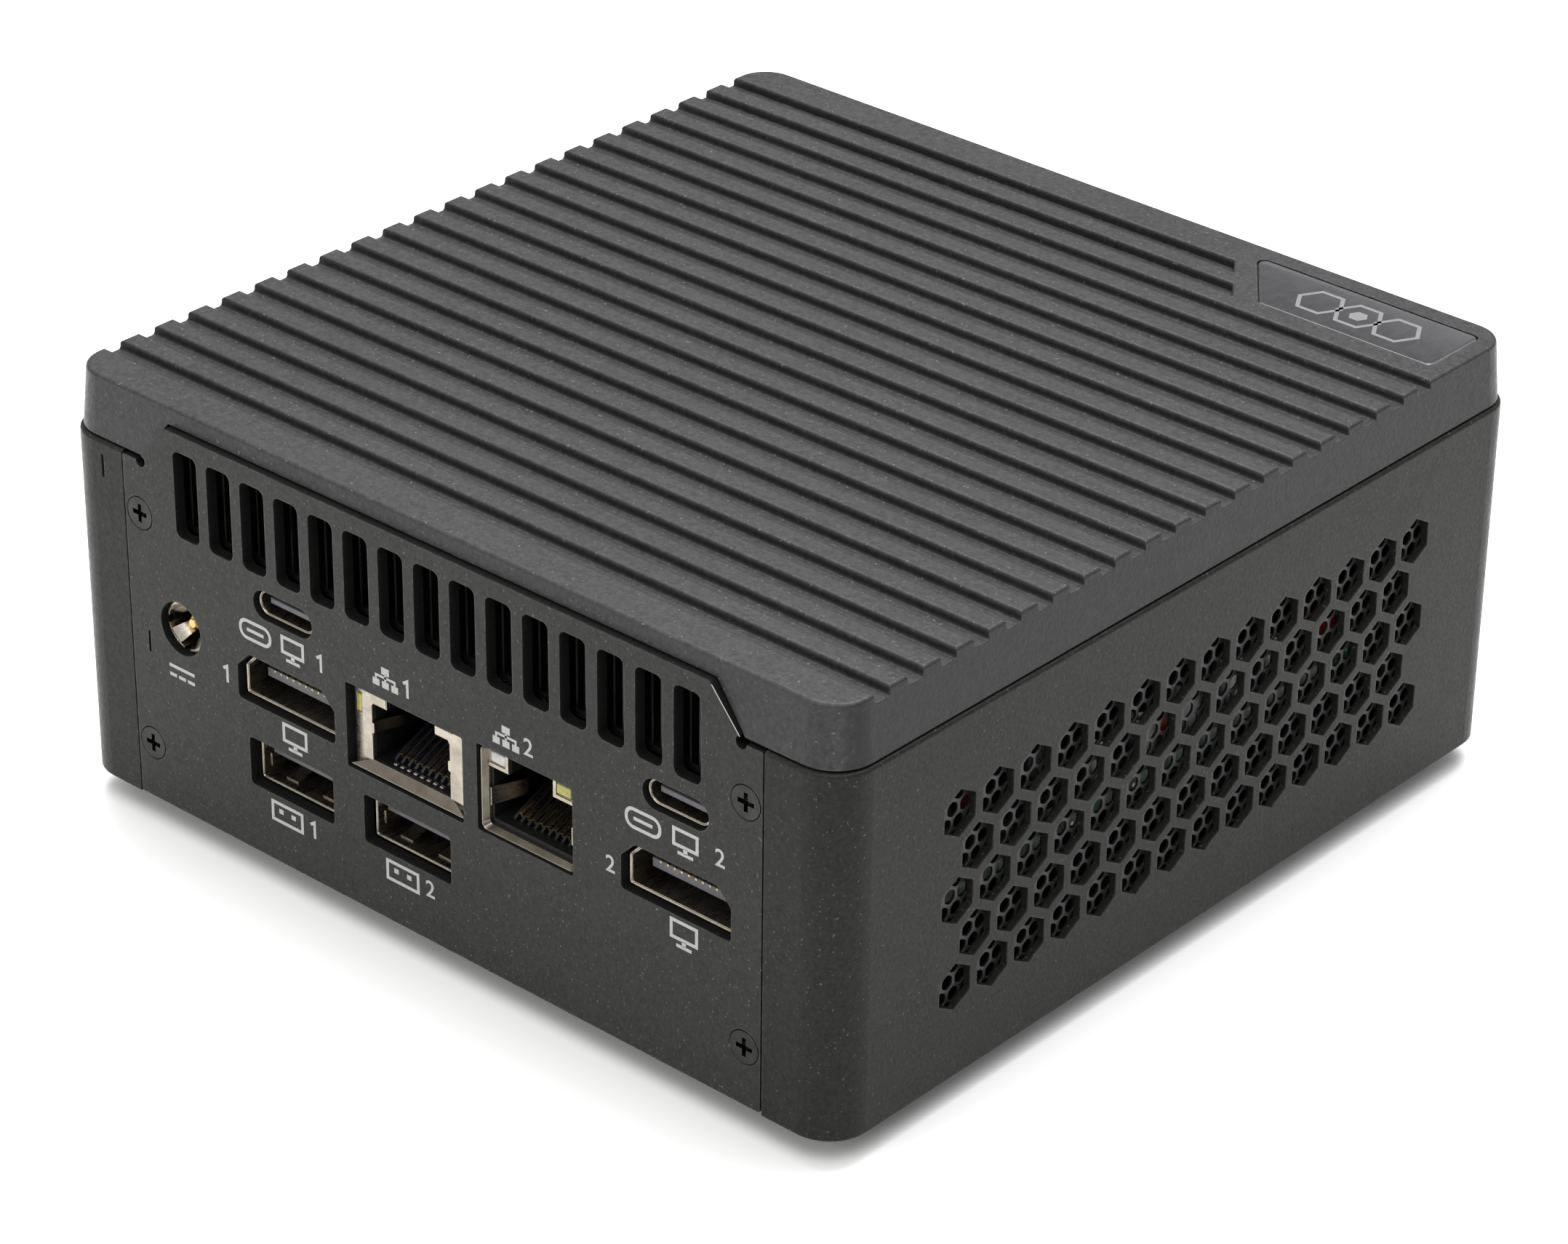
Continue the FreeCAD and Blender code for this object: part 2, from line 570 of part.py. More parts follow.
for sx in (1, -1):
    for sy in (1, -1):
        circle(s, sx * 49.2, sy * 36.0, 3.0)
pocket(b, s, "1.6", reverse=True)
node("bottom_cover", b)


def pan_screw(x, y, z, head_d, head_h, shank_d, shank_l, up=True):
    """Pan head cross screw; up: head below, shank rising."""
    if up:
        head = cyl(head_d, head_h, x, y, z)
        shank = cyl(shank_d, shank_l, x, y, "%s + %s" % (z, head_h))
        lo, hi = "%s - 1" % z, "%s + %s * 0.55" % (z, head_h)
    else:
        head = cyl(head_d, head_h, x, y, z)
        shank = cyl(shank_d, shank_l, x, y, "%s - %s" % (z, shank_l))
        lo, hi = "%s + %s * 0.45" % (z, head_h), "%s + %s + 1" % (z, head_h)
    q = head_d * 0.3
    c1 = box("%s - 0.28" % x, "%s + 0.28" % x, "%s - %s" % (y, q), "%s + %s" % (y, q), lo, hi)
    c2 = box("%s - %s" % (x, q), "%s + %s" % (x, q), "%s - 0.28" % y, "%s + 0.28" % y, lo, hi)
    return cut(fuse(head, shank), c1, c2)


node("bottom_cover_screws", group(*[pan_screw(sx * 49.2, sy * 36.0, -0.35 + 0.25, 5.2, 1.2, 2.5, 5.6)
                                    for sx in (1, -1) for sy in (1, -1)]))
feet = []
for sx in ("", "-"):
    for sy in ("", "-"):
        x = "%s(dims.body_w / 2 - dims.foot_inset)" % sx
        y = "%s(dims.body_d / 2 - dims.foot_inset)" % sy
        fo = cone("dims.foot_dia - 1.4", "dims.foot_dia", "dims.foot_z + dims.bottom_low", x, y, "-dims.foot_z")
        feet.append(fo)
node("rubber_feet", group(*feet))
node("bracket_inserts", group(*[cut(cyl("4.4", "5.0", sx + "dims.insert_x", "0", "dims.bottom_low"),
                                    cyl("dims.insert_bore - 0.5", "7", sx + "dims.insert_x", "0", "dims.bottom_low - 1"))
                                for sx in ("", "-")]))

# ======================================================================= side meshes
for sx, label in ((1, "honeycomb_mesh_left"), (-1, "honeycomb_mesh_right")):
    s = doc.addObject("Sketcher::SketchObject", uid("mesh"))
    s.Placement = Placement(Vector(sx * 57.3 - 0.25, 0, D["foot_z"]), Rotation(Vector(1, 1, 1), 120))
    pts = [(-45.2, 8.1), (45.2, 8.1), (45.2, 36.2), (-45.2, 36.2)]
    geo = []
    for i in range(4):
        geo.append(Part.LineSegment(Vector(*pts[i], 0), Vector(*pts[(i + 1) % 4], 0)))
    rows = 14
    mp = D["hex_pitch"] / 3.0
    mr = mp * math.sqrt(3) / 2
    hr = 0.86
    for r in range(rows + 1):
        zc = D["hex_low"] + 2 * D["hex_row"] + (r - rows / 2) * mr
        if not 9.2 < zc < 35.1:
            continue
        n = 43 if r % 2 else 42
        for c in range(n):
            yc = (c - (n - 1) / 2) * mp
            if abs(yc) > 44.0:
                continue
            geo.append(Part.Circle(Vector(yc, zc, 0), Vector(0, 0, 1), hr))
    s.addGeometry(geo, False)
    e = doc.addObject("Part::Extrusion", uid("sheet"))
    e.Base = s
    e.DirMode = "Custom"
    e.Dir = Vector(1, 0, 0)
    bind(e, "LengthFwd", "0.5")
    e.Solid = True
    e.FaceMakerClass = "Part::FaceMakerBullseye"
    node(label, e)

# ======================================================================= mainboard and sockets
bz, bt = "dims.board_z", "dims.board_z + dims.board_thick"
BT = D["board_z"] + D["board_thick"]
brd = box("-dims.board_w / 2", "dims.board_w / 2", "dims.board_y - dims.board_d / 2", "dims.board_y + dims.board_d / 2", bz, bt)
holes = [cyl("3.2", "6", sx * 47.5, yc, bz + " - 2") for sx in (1, -1) for yc in (51.2, -50.8)]
holes += [cyl("3.0", "6", -4 + sx * 29, -2.8 + sy * 15, bz + " - 2") for sx in (1, -1) for sy in (1, -1)]
node("mainboard", cut(brd, *holes))
node("board_screws", group(*[pan_screw(sx * 47.5, yc, BT, 5.0, 1.6, 2.4, 6.5, up=False) for sx in (1, -1) for yc in (51.2, -50.8)]))

RF = D["rear_face"]
RFC = RF + 0.35
RFA = RF - 0.4


def prism(pts, radii, y0, y1):
    """Straight tube or bar along Y from an XZ outline."""
    s = doc.addObject("Sketcher::SketchObject", uid("outline"))
    s.Placement = Placement(Vector(0, y1, D["foot_z"]), Rotation(Vector(1, 0, 0), 90))
    bind(s, "Placement.Base.z", FZ)
    rpoly(s, pts, radii)
    e = doc.addObject("Part::Extrusion", uid("prism"))
    e.Base = s
    e.DirMode = "Custom"
    e.Dir = Vector(0, -1, 0)
    bind(e, "LengthFwd", "%s" % (y1 - y0))
    e.Solid = True
    return e


vs, vt, cs, ct, hs_all = [], [], [], [], []
for cx in (D["stack_one"], D["stack_two"]):
    vz, cz = D["video_z"], D["typec_z"]
    outer = prism(video_pts(cx, vz, D["video_w"], D["video_tall"], 1.9), 0.45, 46.0, RF)
    inner = prism(video_pts(cx, vz, D["video_w"] - 0.8, D["video_tall"] - 0.8, 1.7), 0.3, 45.0, RF + 1)
    vs.append(cut(outer, inner))
    vt.append(box(cx - 5.7, cx + 5.7, 46.0, RF - 1.5, vz - 0.65, vz + 0.42))
    outer = prism(rect_pts(cx, cz, D["typec_w"], D["typec_tall"]), D["typec_tall"] / 2 - 0.01, 46.0, RFC)
    inner = prism(rect_pts(cx, cz, D["typec_w"] - 0.6, D["typec_tall"] - 0.6), D["typec_tall"] / 2 - 0.31, 45.0, RFC + 1)
    cs.append(cut(outer, inner))
    ct.append(box(cx - 3.3, cx + 3.3, 46.0, RFC - 0.6, cz - 0.35, cz + 0.35))
    hs = box(cx - 7.65, cx + 7.65, 43.0, 57.4, BT, 36.0)
    c1 = prism(video_pts(cx, vz, D["video_w"] + 0.06, D["video_tall"] + 0.1, 1.9), 0.45, 46.0, RF)
    c2 = prism(rect_pts(cx, cz, D["typec_w"] + 0.1, D["typec_tall"] + 0.1), D["typec_tall"] / 2 + 0.03, 46.0, RF)
    hs_all.append(cut(hs, c1, c2))
node("video_port_shells", group(*vs))
node("video_port_tongues", group(*vt))
node("port_stack_housings", group(*hs_all))

ash, ato, aba = [], [], []
FF = -D["front_face"]
for cx in (22.4, 4.0):
    az = D["typea_z"]
    outer = prism(rect_pts(cx, az, D["typea_w"], D["typea_tall"]), 0.45, 45.0, RFA)
    inner = prism(rect_pts(cx, az, D["typea_w"] - 0.7, D["typea_tall"] - 0.7), 0.2, 44.0, RFA + 1)
    ash.append(cut(outer, inner))
    ato.append(box(cx - 5.6, cx + 5.6, 45.0, RFA - 1.0, az + 0.35, az + 2.2))
    aba.append(box(cx - 6.55, cx + 6.55, 41.5, 45.0, 9.15, bz))
for cx in (-10.0, 9.0):
    az = D["typea_front_z"]
    outer = prism(rect_pts(cx, az, D["typea_w"], D["typea_tall"]), 0.45, FF + 0.4, -45.0)
    inner = prism(rect_pts(cx, az, D["typea_w"] - 0.7, D["typea_tall"] - 0.7), 0.2, FF - 1, -44.0)
    ash.append(cut(outer, inner))
    ato.append(box(cx - 5.6, cx + 5.6, FF + 1.4, -45.0, az + 0.35, az + 2.2))
    aba.append(box(cx - 6.55, cx + 6.55, -45.0, -41.5, bt, 23.8))
node("type_a_shells", group(*ash))
node("type_a_tongues", group(*ato))
node("type_a_bases", group(*aba))

cz = D["typec_front_z"]
outer = prism(rect_pts(-28.0, cz, D["typec_w"], D["typec_tall"]), D["typec_tall"] / 2 - 0.01, FF - 0.35, -49.0)
inner = prism(rect_pts(-28.0, cz, D["typec_w"] - 0.6, D["typec_tall"] - 0.6), D["typec_tall"] / 2 - 0.31, FF - 1, -48.0)
cs.append(cut(outer, inner))
ct.append(fuse(box(-31.3, -24.7, FF + 0.25, -48.9, cz - 0.35, cz + 0.35), box(-32.4, -23.6, -49.0, -46.5, bt, 22.6)))
node("type_c_shells", group(*cs))
node("type_c_tongues", group(*ct))

# headphone and microphone socket
ab = fuse(box("dims.audio_x - 3.5", "dims.audio_x + 3.5", -57.4, -45.0, bt, 24.6),
          cyl("6.0", "1.6", "dims.audio_x", "-dims.body_d / 2 + 0.3", "dims.audio_z", "y"))
node("audio_jack", cut(ab, cyl("dims.audio_bore", "13.6", "dims.audio_x", "-dims.body_d / 2", "dims.audio_z", "y")))

# power inlet
dcb = box("dims.dc_x - 4.4", "dims.dc_x + 4.4", 43.5, 57.4, bt, 30.4)
node("dc_jack_body", cut(dcb, cyl("6.3", "14", "dims.dc_x", 47.5, "dims.dc_z", "y")))
sl = cut(cyl("6.2", "10.8", "dims.dc_x", 47.6, "dims.dc_z", "y"), cyl("5.6", "12", "dims.dc_x", 46.5, "dims.dc_z", "y"),
         box("dims.dc_x - 4", "dims.dc_x + 4", 52.0, 59.0, "dims.dc_z - 0.5", "dims.dc_z + 0.5"),
         box("dims.dc_x - 0.5", "dims.dc_x + 0.5", 52.0, 59.0, "dims.dc_z - 4", "dims.dc_z + 4"))
node("dc_jack_sleeve", sl)
node("dc_jack_pin", fuse(cyl("2.1", "9.2", "dims.dc_x", 47.5, "dims.dc_z", "y"),
                         cone("2.1", "1.0", "0.8", "dims.dc_x", 56.7, "dims.dc_z", "y")))

# network sockets: shield, insert, contacts, indicator windows
nsh, nin, nli, nwi = [], [], [], []
JACKS = {"1": (4.1, 8.75, 18.0, 28.3), "2": (-14.2, 6.95, 18.0, 28.5)}
for n, (cx, hw, z0, z1) in JACKS.items():
    first = n == "1"
    chw, ctop, shw = (6.03, z0 + 8.35, 3.75) if first else (6.1, z0 + 7.85, 3.35)
    cav = [box(cx - chw, cx + chw, 44.0, 60.0, z0 + 1.1, ctop),
           box(cx - shw, cx + shw, 44.0, 60.0, ctop - 0.1, z1 + 1.0)]
    sh = box(cx - hw, cx + hw, 36.0, 58.05, z0, z1)
    inn = box(cx - hw + 0.35, cx + hw - 0.35, 36.35, 57.7, z0 + 0.35, z1 - 0.35)
    if first:
        cav2 = [box(cx - chw, cx + chw, 57.0, 60.0, z0 + 1.1, ctop)]
        leds = [(cx + 7.45, cx + 8.36, z0 + 6.6, z0 + 9.05)]
        reach = cx + 8.6
    else:
        cav2 = [box(cx - 6.45, cx + 6.45, 57.0, 60.0, z0 + 0.45, ctop)]
        leds = [(cx + 3.7, cx + 6.0, z0 + 8.5, z0 + 9.9), (cx - 6.0, cx - 3.7, z0 + 8.5, z0 + 9.9)]
        reach = 0
    cav2.append(box(cx - shw, cx + shw, 57.0, 60.0, ctop - 0.1, z1 - (0.55 if first else 0.4)))
    cav2.append(box(cx - 1.5, cx + (3.75 if first else 2.3), 56.6, 60.0, ctop - 0.1, z1 + 1.0))
    win = [box(a - 0.03, b + (0.02 if first else 0.03), 56.55, 60.0, c - 0.05, d + 0.05) for a, b, c, d in leds]
    nsh.append(cut(sh, inn, *(cav2 + win)))
    hs = box(cx - hw + 0.36, cx + hw - 0.36, 36.4, 57.65, z0 + 0.36, z1 - 0.36)
    led = [box(a, b, 56.65, 57.95, c, d) for a, b, c, d in leds]
    pockets = [box(a - 0.02, reach or b + 0.02, 56.55, 59.0, c - 0.02, d + 0.02) for a, b, c, d in leds]
    nin.append(cut(hs, *(cav + pockets)))
    nli += led
    wires = []
    for k in range(8):
        wxk = cx + (k - 3.5) * 1.02
        w = doc.addObject("Part::Box", uid("wire"))
        bind(w, "Length", "0.45")
        bind(w, "Width", "9.0")
        bind(w, "Height", "0.3")
        place(w, wxk - 0.225, 47.0, z0 + 1.35, Rotation(Vector(1, 0, 0), 0))
        w2 = doc.addObject("Part::Box", uid("wire"))
        bind(w2, "Length", "0.45")
        bind(w2, "Width", "7.4")
        bind(w2, "Height", "0.3")
        place(w2, wxk - 0.225, 49.0, z0 + 3.9, Rotation(Vector(1, 0, 0), -17))
        wires.append(fuse(w, w2))
    nwi += wires
node("network_jack_shields", group(*nsh))
node("network_jack_inserts", group(*nin))
node("network_jack_lights", group(*nli))
node("network_jack_contacts", group(*nwi))

# ======================================================================= processor and cooler
CX, CY = -4.0, -2.8
node("processor_package", fuse(box(CX - 25, CX + 25, CY - 12.5, CY + 12.5, BT, BT + 1.2),
                               box(CX - 14, CX + 2, CY - 5, CY + 5, BT + 1.1, BT + 1.9),
                               box(CX + 4, CX + 12, CY - 4, CY + 4, BT + 1.1, BT + 1.9)))
cp = box(CX - 24, CX + 24, CY - 18, CY + 18, BT + 1.9, BT + 4.4)
arms = [box(CX + sx * 29 - 4, CX + sx * 29 + 4, CY + sy * 15 - 3.5, CY + sy * 15 + 3.5, BT + 2.6, BT + 3.6) for sx in (1, -1) for sy in (1, -1)]
arms += [box(CX - 29, CX + 29, CY + sy * 15 - 2.5, CY + sy * 15 + 2.5, BT + 2.6, BT + 3.6) for sy in (1, -1)]
bores = [cyl("2.4", "6", CX + sx * 29, CY + sy * 15, BT + 0.5) for sx in (1, -1) for sy in (1, -1)]
node("cold_plate", cut(fuse(cp, *arms), *bores))
node("cooler_screws", group(*[fuse(cyl("4.6", "1.8", CX + sx * 29, CY + sy * 15, BT + 3.65), cyl("2.2", BT + 3.7 - D["board_z"] + 0.6, CX + sx * 29, CY + sy * 15, D["board_z"] - 0.6))
                              for sx in (1, -1) for sy in (1, -1)]))
pipes = []
z1p, z2p = BT + 4.4 + 3.0, D["fin_low"] - 3.0
for px in (-13.0, 4.0):
    z1f, z2f = z1p + D["foot_z"], z2p + D["foot_z"]
    ya, yb = 19.0, 36.5
    pts = [Vector(px, -23.0, z1f), Vector(px, ya, z1f), Vector(px, yb, z2f), Vector(px, 56.6, z2f)]
    ang = math.atan2(z2f - z1f, yb - ya)
    rr = 11.0
    t = rr * math.tan(ang / 2)
    dirv = Vector(0, math.cos(ang), math.sin(ang))
    a1 = pts[1] - Vector(0, 1, 0) * t
    a2 = pts[1] + dirv * t
    am = pts[1] + Vector(0, -math.sin(ang / 2), math.cos(ang / 2)) * (rr / math.cos(ang / 2) - rr)
    b1 = pts[2] - dirv * t
    b2 = pts[2] + Vector(0, 1, 0) * t
    bm = pts[2] - Vector(0, -math.sin(ang / 2), math.cos(ang / 2)) * (rr / math.cos(ang / 2) - rr)
    wire = Part.Wire([Part.LineSegment(pts[0], a1).toShape(), Part.Arc(a1, am, a2).toShape(), Part.LineSegment(a2, b1).toShape(),
                      Part.Arc(b1, bm, b2).toShape(), Part.LineSegment(b2, pts[3]).toShape()])
    spine = doc.addObject("Part::Feature", uid("pipe_path"))
    spine.Shape = wire
    prof = doc.addObject("Part::Circle", uid("pipe_profile"))
    bind(prof, "Radius", "dims.pipe_dia / 2")
    prof.Placement = Placement(pts[0], Rotation(Vector(1, 0, 0), 90))
    sw = doc.addObject("Part::Sweep", uid("pipe"))
    sw.Sections = [prof]
    sw.Spine = (spine, ["Edge%d" % (i + 1) for i in range(5)])
    sw.Solid = True
    sw.Frenet = True
    pipes.append(sw)
node("heat_pipes", group(*pipes))

b = body("fin_stack")
s = sketch(b, "plates", "XZ_Plane", offset="-57.2")
poly(s, rect_pts(0, D["fin_low"] + 0.4, 82.0, 0.8))
pad(b, s, "11.6")
s = sketch(b, "fin", "XZ_Plane", offset="-57.2")
x0 = -30 * D["fin_pitch"]
poly(s, rect_pts(x0, (D["fin_low"] + 0.5 + D["fin_high"]) / 2, D["fin_thick"], D["fin_high"] - D["fin_low"] - 0.5))
g0 = pad(b, s, "11.6")
linear(b, g0, "X_Axis", "60 * dims.fin_pitch", 61)
s = sketch(b, "cap", "XZ_Plane", offset="-57.2")
poly(s, rect_pts(0, D["fin_high"] - 0.15, 82.0, 0.3))
p = pad(b, s, "11.6")
b.Tip = p
node("fin_stack", b)

# ======================================================================= radial blower
RX, RY = "dims.rotor_x", "dims.rotor_y"


def volute(r, x0, x1, y1, z0, z1):
    return fuse(cyl(2 * r, "%s - %s" % (z1, z0), RX, RY, z0), box(x0, x1, 6.0, y1, z0, z1))


EARS = ((-20.9, -23.9), (18.2, -25.6), (-36.8, 36.0))
hs = cut(volute(33.5, -33.5, 41.0, 45.2, 36.9, 47.4), volute(32.3, -32.3, 39.8, 46.2, 37.9, 48.0))
hs = fuse(hs, *[cyl("8.0", "1.2", x, y, 36.9) for x, y in EARS])
hs = cut(hs, *[cyl("2.2", "4", x, y, 35.5) for x, y in EARS],
         *[cut(cyl("44", "3", RX, RY, 35.9), cyl("22", "4", RX, RY, 35.5), box(-23, 23, 4.5, 7.5, 35.5, 39.5), box(-1.5, 1.5, -17, 29, 35.5, 39.5))])
node("blower_housing", fuse(hs, cyl("6.4", "1.0", RX, RY, 37.8)))
node("blower_cover", cut(volute(33.5, -33.5, 41.0, 45.2, 47.4, 48.1), cyl("42", "3", RX, RY, 46.5)))
SCREW_SITES = [pan_screw(x, y, 38.1, 3.6, 1.2, 1.9, 4.0, up=False) for x, y in EARS]
st = [cut(cyl("4.4", "36.85 - %s" % BT, x, y, BT), cyl("1.95", "6.0", x, y, 31.5)) for x, y in EARS]
node("fan_bearing", cut(cyl("4.6", "5.0", RX, RY, 38.8), cyl("2.1", "8.0", RX, RY, 37.5)))
node("fan_stator", cut(fuse(cyl("9.0", "3.8", RX, RY, 39.2), *[box(-8.6, 8.6, 4.8, 7.2, 39.4, 42.6), box(-1.2, 1.2, -2.6, 14.6, 39.4, 42.6)]),
                       cyl("4.7", "8.0", RX, RY, 38.0)))
node("fan_shaft", cyl("2.0", "5.9", RX, RY, 38.9))

b = body("fan_rotor")
bind(b, "Placement.Base.x", RX)
bind(b, "Placement.Base.y", RY)
s = sketch(b, "hub", offset="38.6")
circle(s, 0, 0, 12.0)
pad(b, s, "7.6")
s = sketch(b, "cup", offset="37.6")
circle(s, 0, 0, 11.0)
pocket(b, s, "7.2", reverse=True)
s = sketch(b, "shaft_bore", offset="40.6")
circle(s, 0, 0, 1.0)
pocket(b, s, "4.3", reverse=True)
s = sketch(b, "web", offset="44.0")
circle(s, 0, 0, 20.0)
circle(s, 0, 0, 11.9)
pad(b, s, "0.9")
# one curved blade, then the ring of blades
s = sketch(b, "blade", offset="38.9")
r0, r1 = 18.6, D["rotor_dia"] / 2
pa, pb = Vector(r0, 0, 0), Vector(r1 * math.cos(math.radians(13)), r1 * math.sin(math.radians(13)), 0)
mid = (pa + pb) * 0.5
nrm = Vector(-(pb - pa).y, (pb - pa).x, 0).normalize()
m1 = mid - nrm * 0.9
offs = nrm * 0.55
arc1 = Part.Arc(pa, m1, pb)
arc2 = Part.Arc(pb + offs, m1 + offs, pa + offs)
s.addGeometry(arc1, False)
s.addGeometry(Part.LineSegment(pb, pb + offs), False)
s.addGeometry(arc2, False)
s.addGeometry(Part.LineSegment(pa + offs, pa), False)
g0 = pad(b, s, "7.1")
m = b.newObject("PartDesign::PolarPattern", uid("ring"))
m.Originals = [g0]
m.Axis = (origin_plane(b, "Z_Axis"), [""])
m.Angle = 360
m.Occurrences = 37
b.Tip = m
doc.recompute()
node("fan_rotor", b)

# ======================================================================= small parts on the board
node("coin_cell", cyl("20.0", "3.2", 40.4, -24.0, BT + 0.6))
ch = cut(box(29.3, 51.3, -35.4, -12.6, BT, BT + 3.0), cyl("20.3", "4", 40.4, -24.0, BT + 0.55))
node("coin_cell_holder", ch)
ind = [box(-43.9, -37.3, y, y + 6.6, BT, BT + 3.1) for y in (-30.0, -21.5, -13.0, -4.5, 4.0)]
ind += [box(x, x + 6.6, 25.6, 32.2, BT, BT + 3.1) for x in (18.0, 26.5)]
node("power_inductors", group(*ind))
caps = [cyl("5.0", "5.6", -47.4, y, BT) for y in (-28.0, -20.0, -12.0, -4.0, 4.0)] + [cyl("5.0", "5.6", x, 37.4, BT) for x in (34.0, 41.0)]
node("capacitors", group(*caps))

# ======================================================================= underside: memory, storage, radio
z_lo = [7.6, 11.7]
sock = box(-36.6, 36.6, 31.0, 39.0, 6.6, bz)
slots = [box(-34.95, 34.95, 30.0, 35.2, z - 0.02, z + 1.22) for z in z_lo]
latch = [box(sx * 36.0 - 0.8, sx * 36.0 + 0.8, 14.0, 31.2, 7.2, 15.7) for sx in (1, -1)]
node("memory_sockets", cut(fuse(sock, *latch), *slots))
mods = []
for z in z_lo:
    pcb = box(-34.8, 34.8, 5.1, 35.1, z, z + 1.2)
    chips = [box(x, x + 10.5, 9.0, 21.0, z - 0.95, z + 0.05) for x in (-31.0, -16.0, 5.5, 20.5)]
    mods.append(fuse(pcb, *chips))
node("memory_modules", group(*mods))
node("ssd_module", fuse(box(-40.0, 40.0, -19.0, 3.0, 12.4, 13.2), box(14.0, 32.0, -15.0, -1.0, 11.1, 12.5), box(-8.0, 10.0, -15.0, -1.0, 11.1, 12.5),
                        box(-34.0, -14.0, -15.0, -1.0, 11.3, 12.5)))
e1 = cut(box(36.4, 44.4, -19.4, 3.4, 10.9, bz), box(36.0, 40.1, -19.05, 3.05, 12.35, 13.25))
node("radio_module", fuse(box(10.0, 40.0, -46.0, -24.0, 12.4, 13.2), box(14.0, 30.0, -43.0, -27.0, 11.0, 12.5)))
e2 = cut(box(36.4, 44.4, -46.4, -23.6, 10.9, bz), box(36.0, 40.1, -46.05, -23.95, 12.35, 13.25))
node("card_sockets", group(e1, e2))
st += [cut(cyl("4.6", "2.45", x, y, 13.22), cyl("2.05", "4.0", x, y, 12.0)) for x, y in ((-41.6, -8.0), (8.4, -35.0))]
node("standoffs", group(*st))
SCREW_SITES += [pan_screw(x, y, 11.05, 4.4, 1.3, 1.9, 2.9) for x, y in ((-41.6, -8.0), (8.4, -35.0))]
node("module_screws", group(*SCREW_SITES))

# radio antennas inside the front corners
node("antennas", group(box(-56.45, -56.05, -53.6, -46.6, 20.0, 40.0), box(56.05, 56.45, -53.6, -46.6, 20.0, 40.0)))
cables = []
for sx, ys in ((1, -44.2), (-1, -41.4)):
    if sx > 0:
        pts = [(12.6, ys, 12.3), (13.6, ys, 9.4), (28.0, -44.3, 8.8), (42.0, -43.6, 9.0), (52.6, -43.6, 12.0), (53.7, -44.2, 19.0), (54.6, -46.2, 23.0), (55.5, -48.6, 25.0)]
    else:
        pts = [(12.6, ys, 12.3), (11.2, ys, 9.4), (0.0, -43.2, 8.8), (-40.0, -43.6, 9.0), (-52.6, -43.6, 12.0), (-53.7, -44.2, 19.0), (-54.6, -46.2, 23.0), (-55.5, -48.6, 25.0)]
    vp = [Vector(x, y, z + D["foot_z"]) for x, y, z in pts]
    curve = Part.BSplineCurve()
    curve.interpolate(vp)
    spine = doc.addObject("Part::Feature", uid("cable_path"))
    spine.Shape = Part.Wire([curve.toShape()])
    prof = doc.addObject("Part::Circle", uid("cable_profile"))
    bind(prof, "Radius", "0.5")
    tan = curve.tangent(curve.FirstParameter)[0]
    prof.Placement = Placement(vp[0], Rotation(Vector(0, 0, 1), tan))
    sw = doc.addObject("Part::Sweep", uid("cable"))
    sw.Sections = [prof]
    sw.Spine = (spine, ["Edge1"])
    sw.Solid = True
    sw.Frenet = True
    cables.append(sw)
node("antenna_cables", group(*cables))

# ======================================================================= check and export
doc.recompute()
bad = []
for o in doc.Objects:
    if "Invalid" in o.State or "Error" in o.State:
        bad.append((o.Name, o.Label, list(o.State)))
for label, o in NODES:
    sh = o.Shape
    if sh.isNull() or not sh.isValid() or not sh.Solids:
        bad.append((label, "shape"))
if bad:
    for item in bad:
        print("BAD", item)
    raise SystemExit(1)
for label, o in NODES:
    o.Shape.exportStep("parts/%s.step" % label)
box_all = None
for label, o in NODES:
    box_all = o.Shape.BoundBox if box_all is None else box_all.united(o.Shape.BoundBox)
print("nodes", len(NODES), "size", round(box_all.XLength, 3), round(box_all.YLength, 3), round(box_all.ZLength, 3),
      "min", round(box_all.XMin, 3), round(box_all.YMin, 3), round(box_all.ZMin, 3))
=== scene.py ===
import json
import math
import random

import bmesh
import bpy
import numpy as np
from mathutils import Matrix, Vector
from mathutils.bvhtree import BVHTree


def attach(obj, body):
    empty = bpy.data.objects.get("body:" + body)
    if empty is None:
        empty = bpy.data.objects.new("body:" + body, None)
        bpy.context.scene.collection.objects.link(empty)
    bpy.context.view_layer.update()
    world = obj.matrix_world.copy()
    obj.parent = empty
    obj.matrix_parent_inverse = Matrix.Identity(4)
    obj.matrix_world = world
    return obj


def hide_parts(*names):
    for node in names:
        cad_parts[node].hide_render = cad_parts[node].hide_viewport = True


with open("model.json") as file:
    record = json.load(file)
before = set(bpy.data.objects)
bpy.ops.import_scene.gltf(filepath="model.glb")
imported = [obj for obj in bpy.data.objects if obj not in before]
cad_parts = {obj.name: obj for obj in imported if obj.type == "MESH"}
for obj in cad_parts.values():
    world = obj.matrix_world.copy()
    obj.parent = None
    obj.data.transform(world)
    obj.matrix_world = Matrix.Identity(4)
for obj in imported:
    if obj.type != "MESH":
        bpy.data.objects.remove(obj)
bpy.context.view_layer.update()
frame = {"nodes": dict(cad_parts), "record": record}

S = 0.001
FZ = 3.5  # underside of the case above the floor, mm
scene = bpy.context.scene
NODES = frame["nodes"]

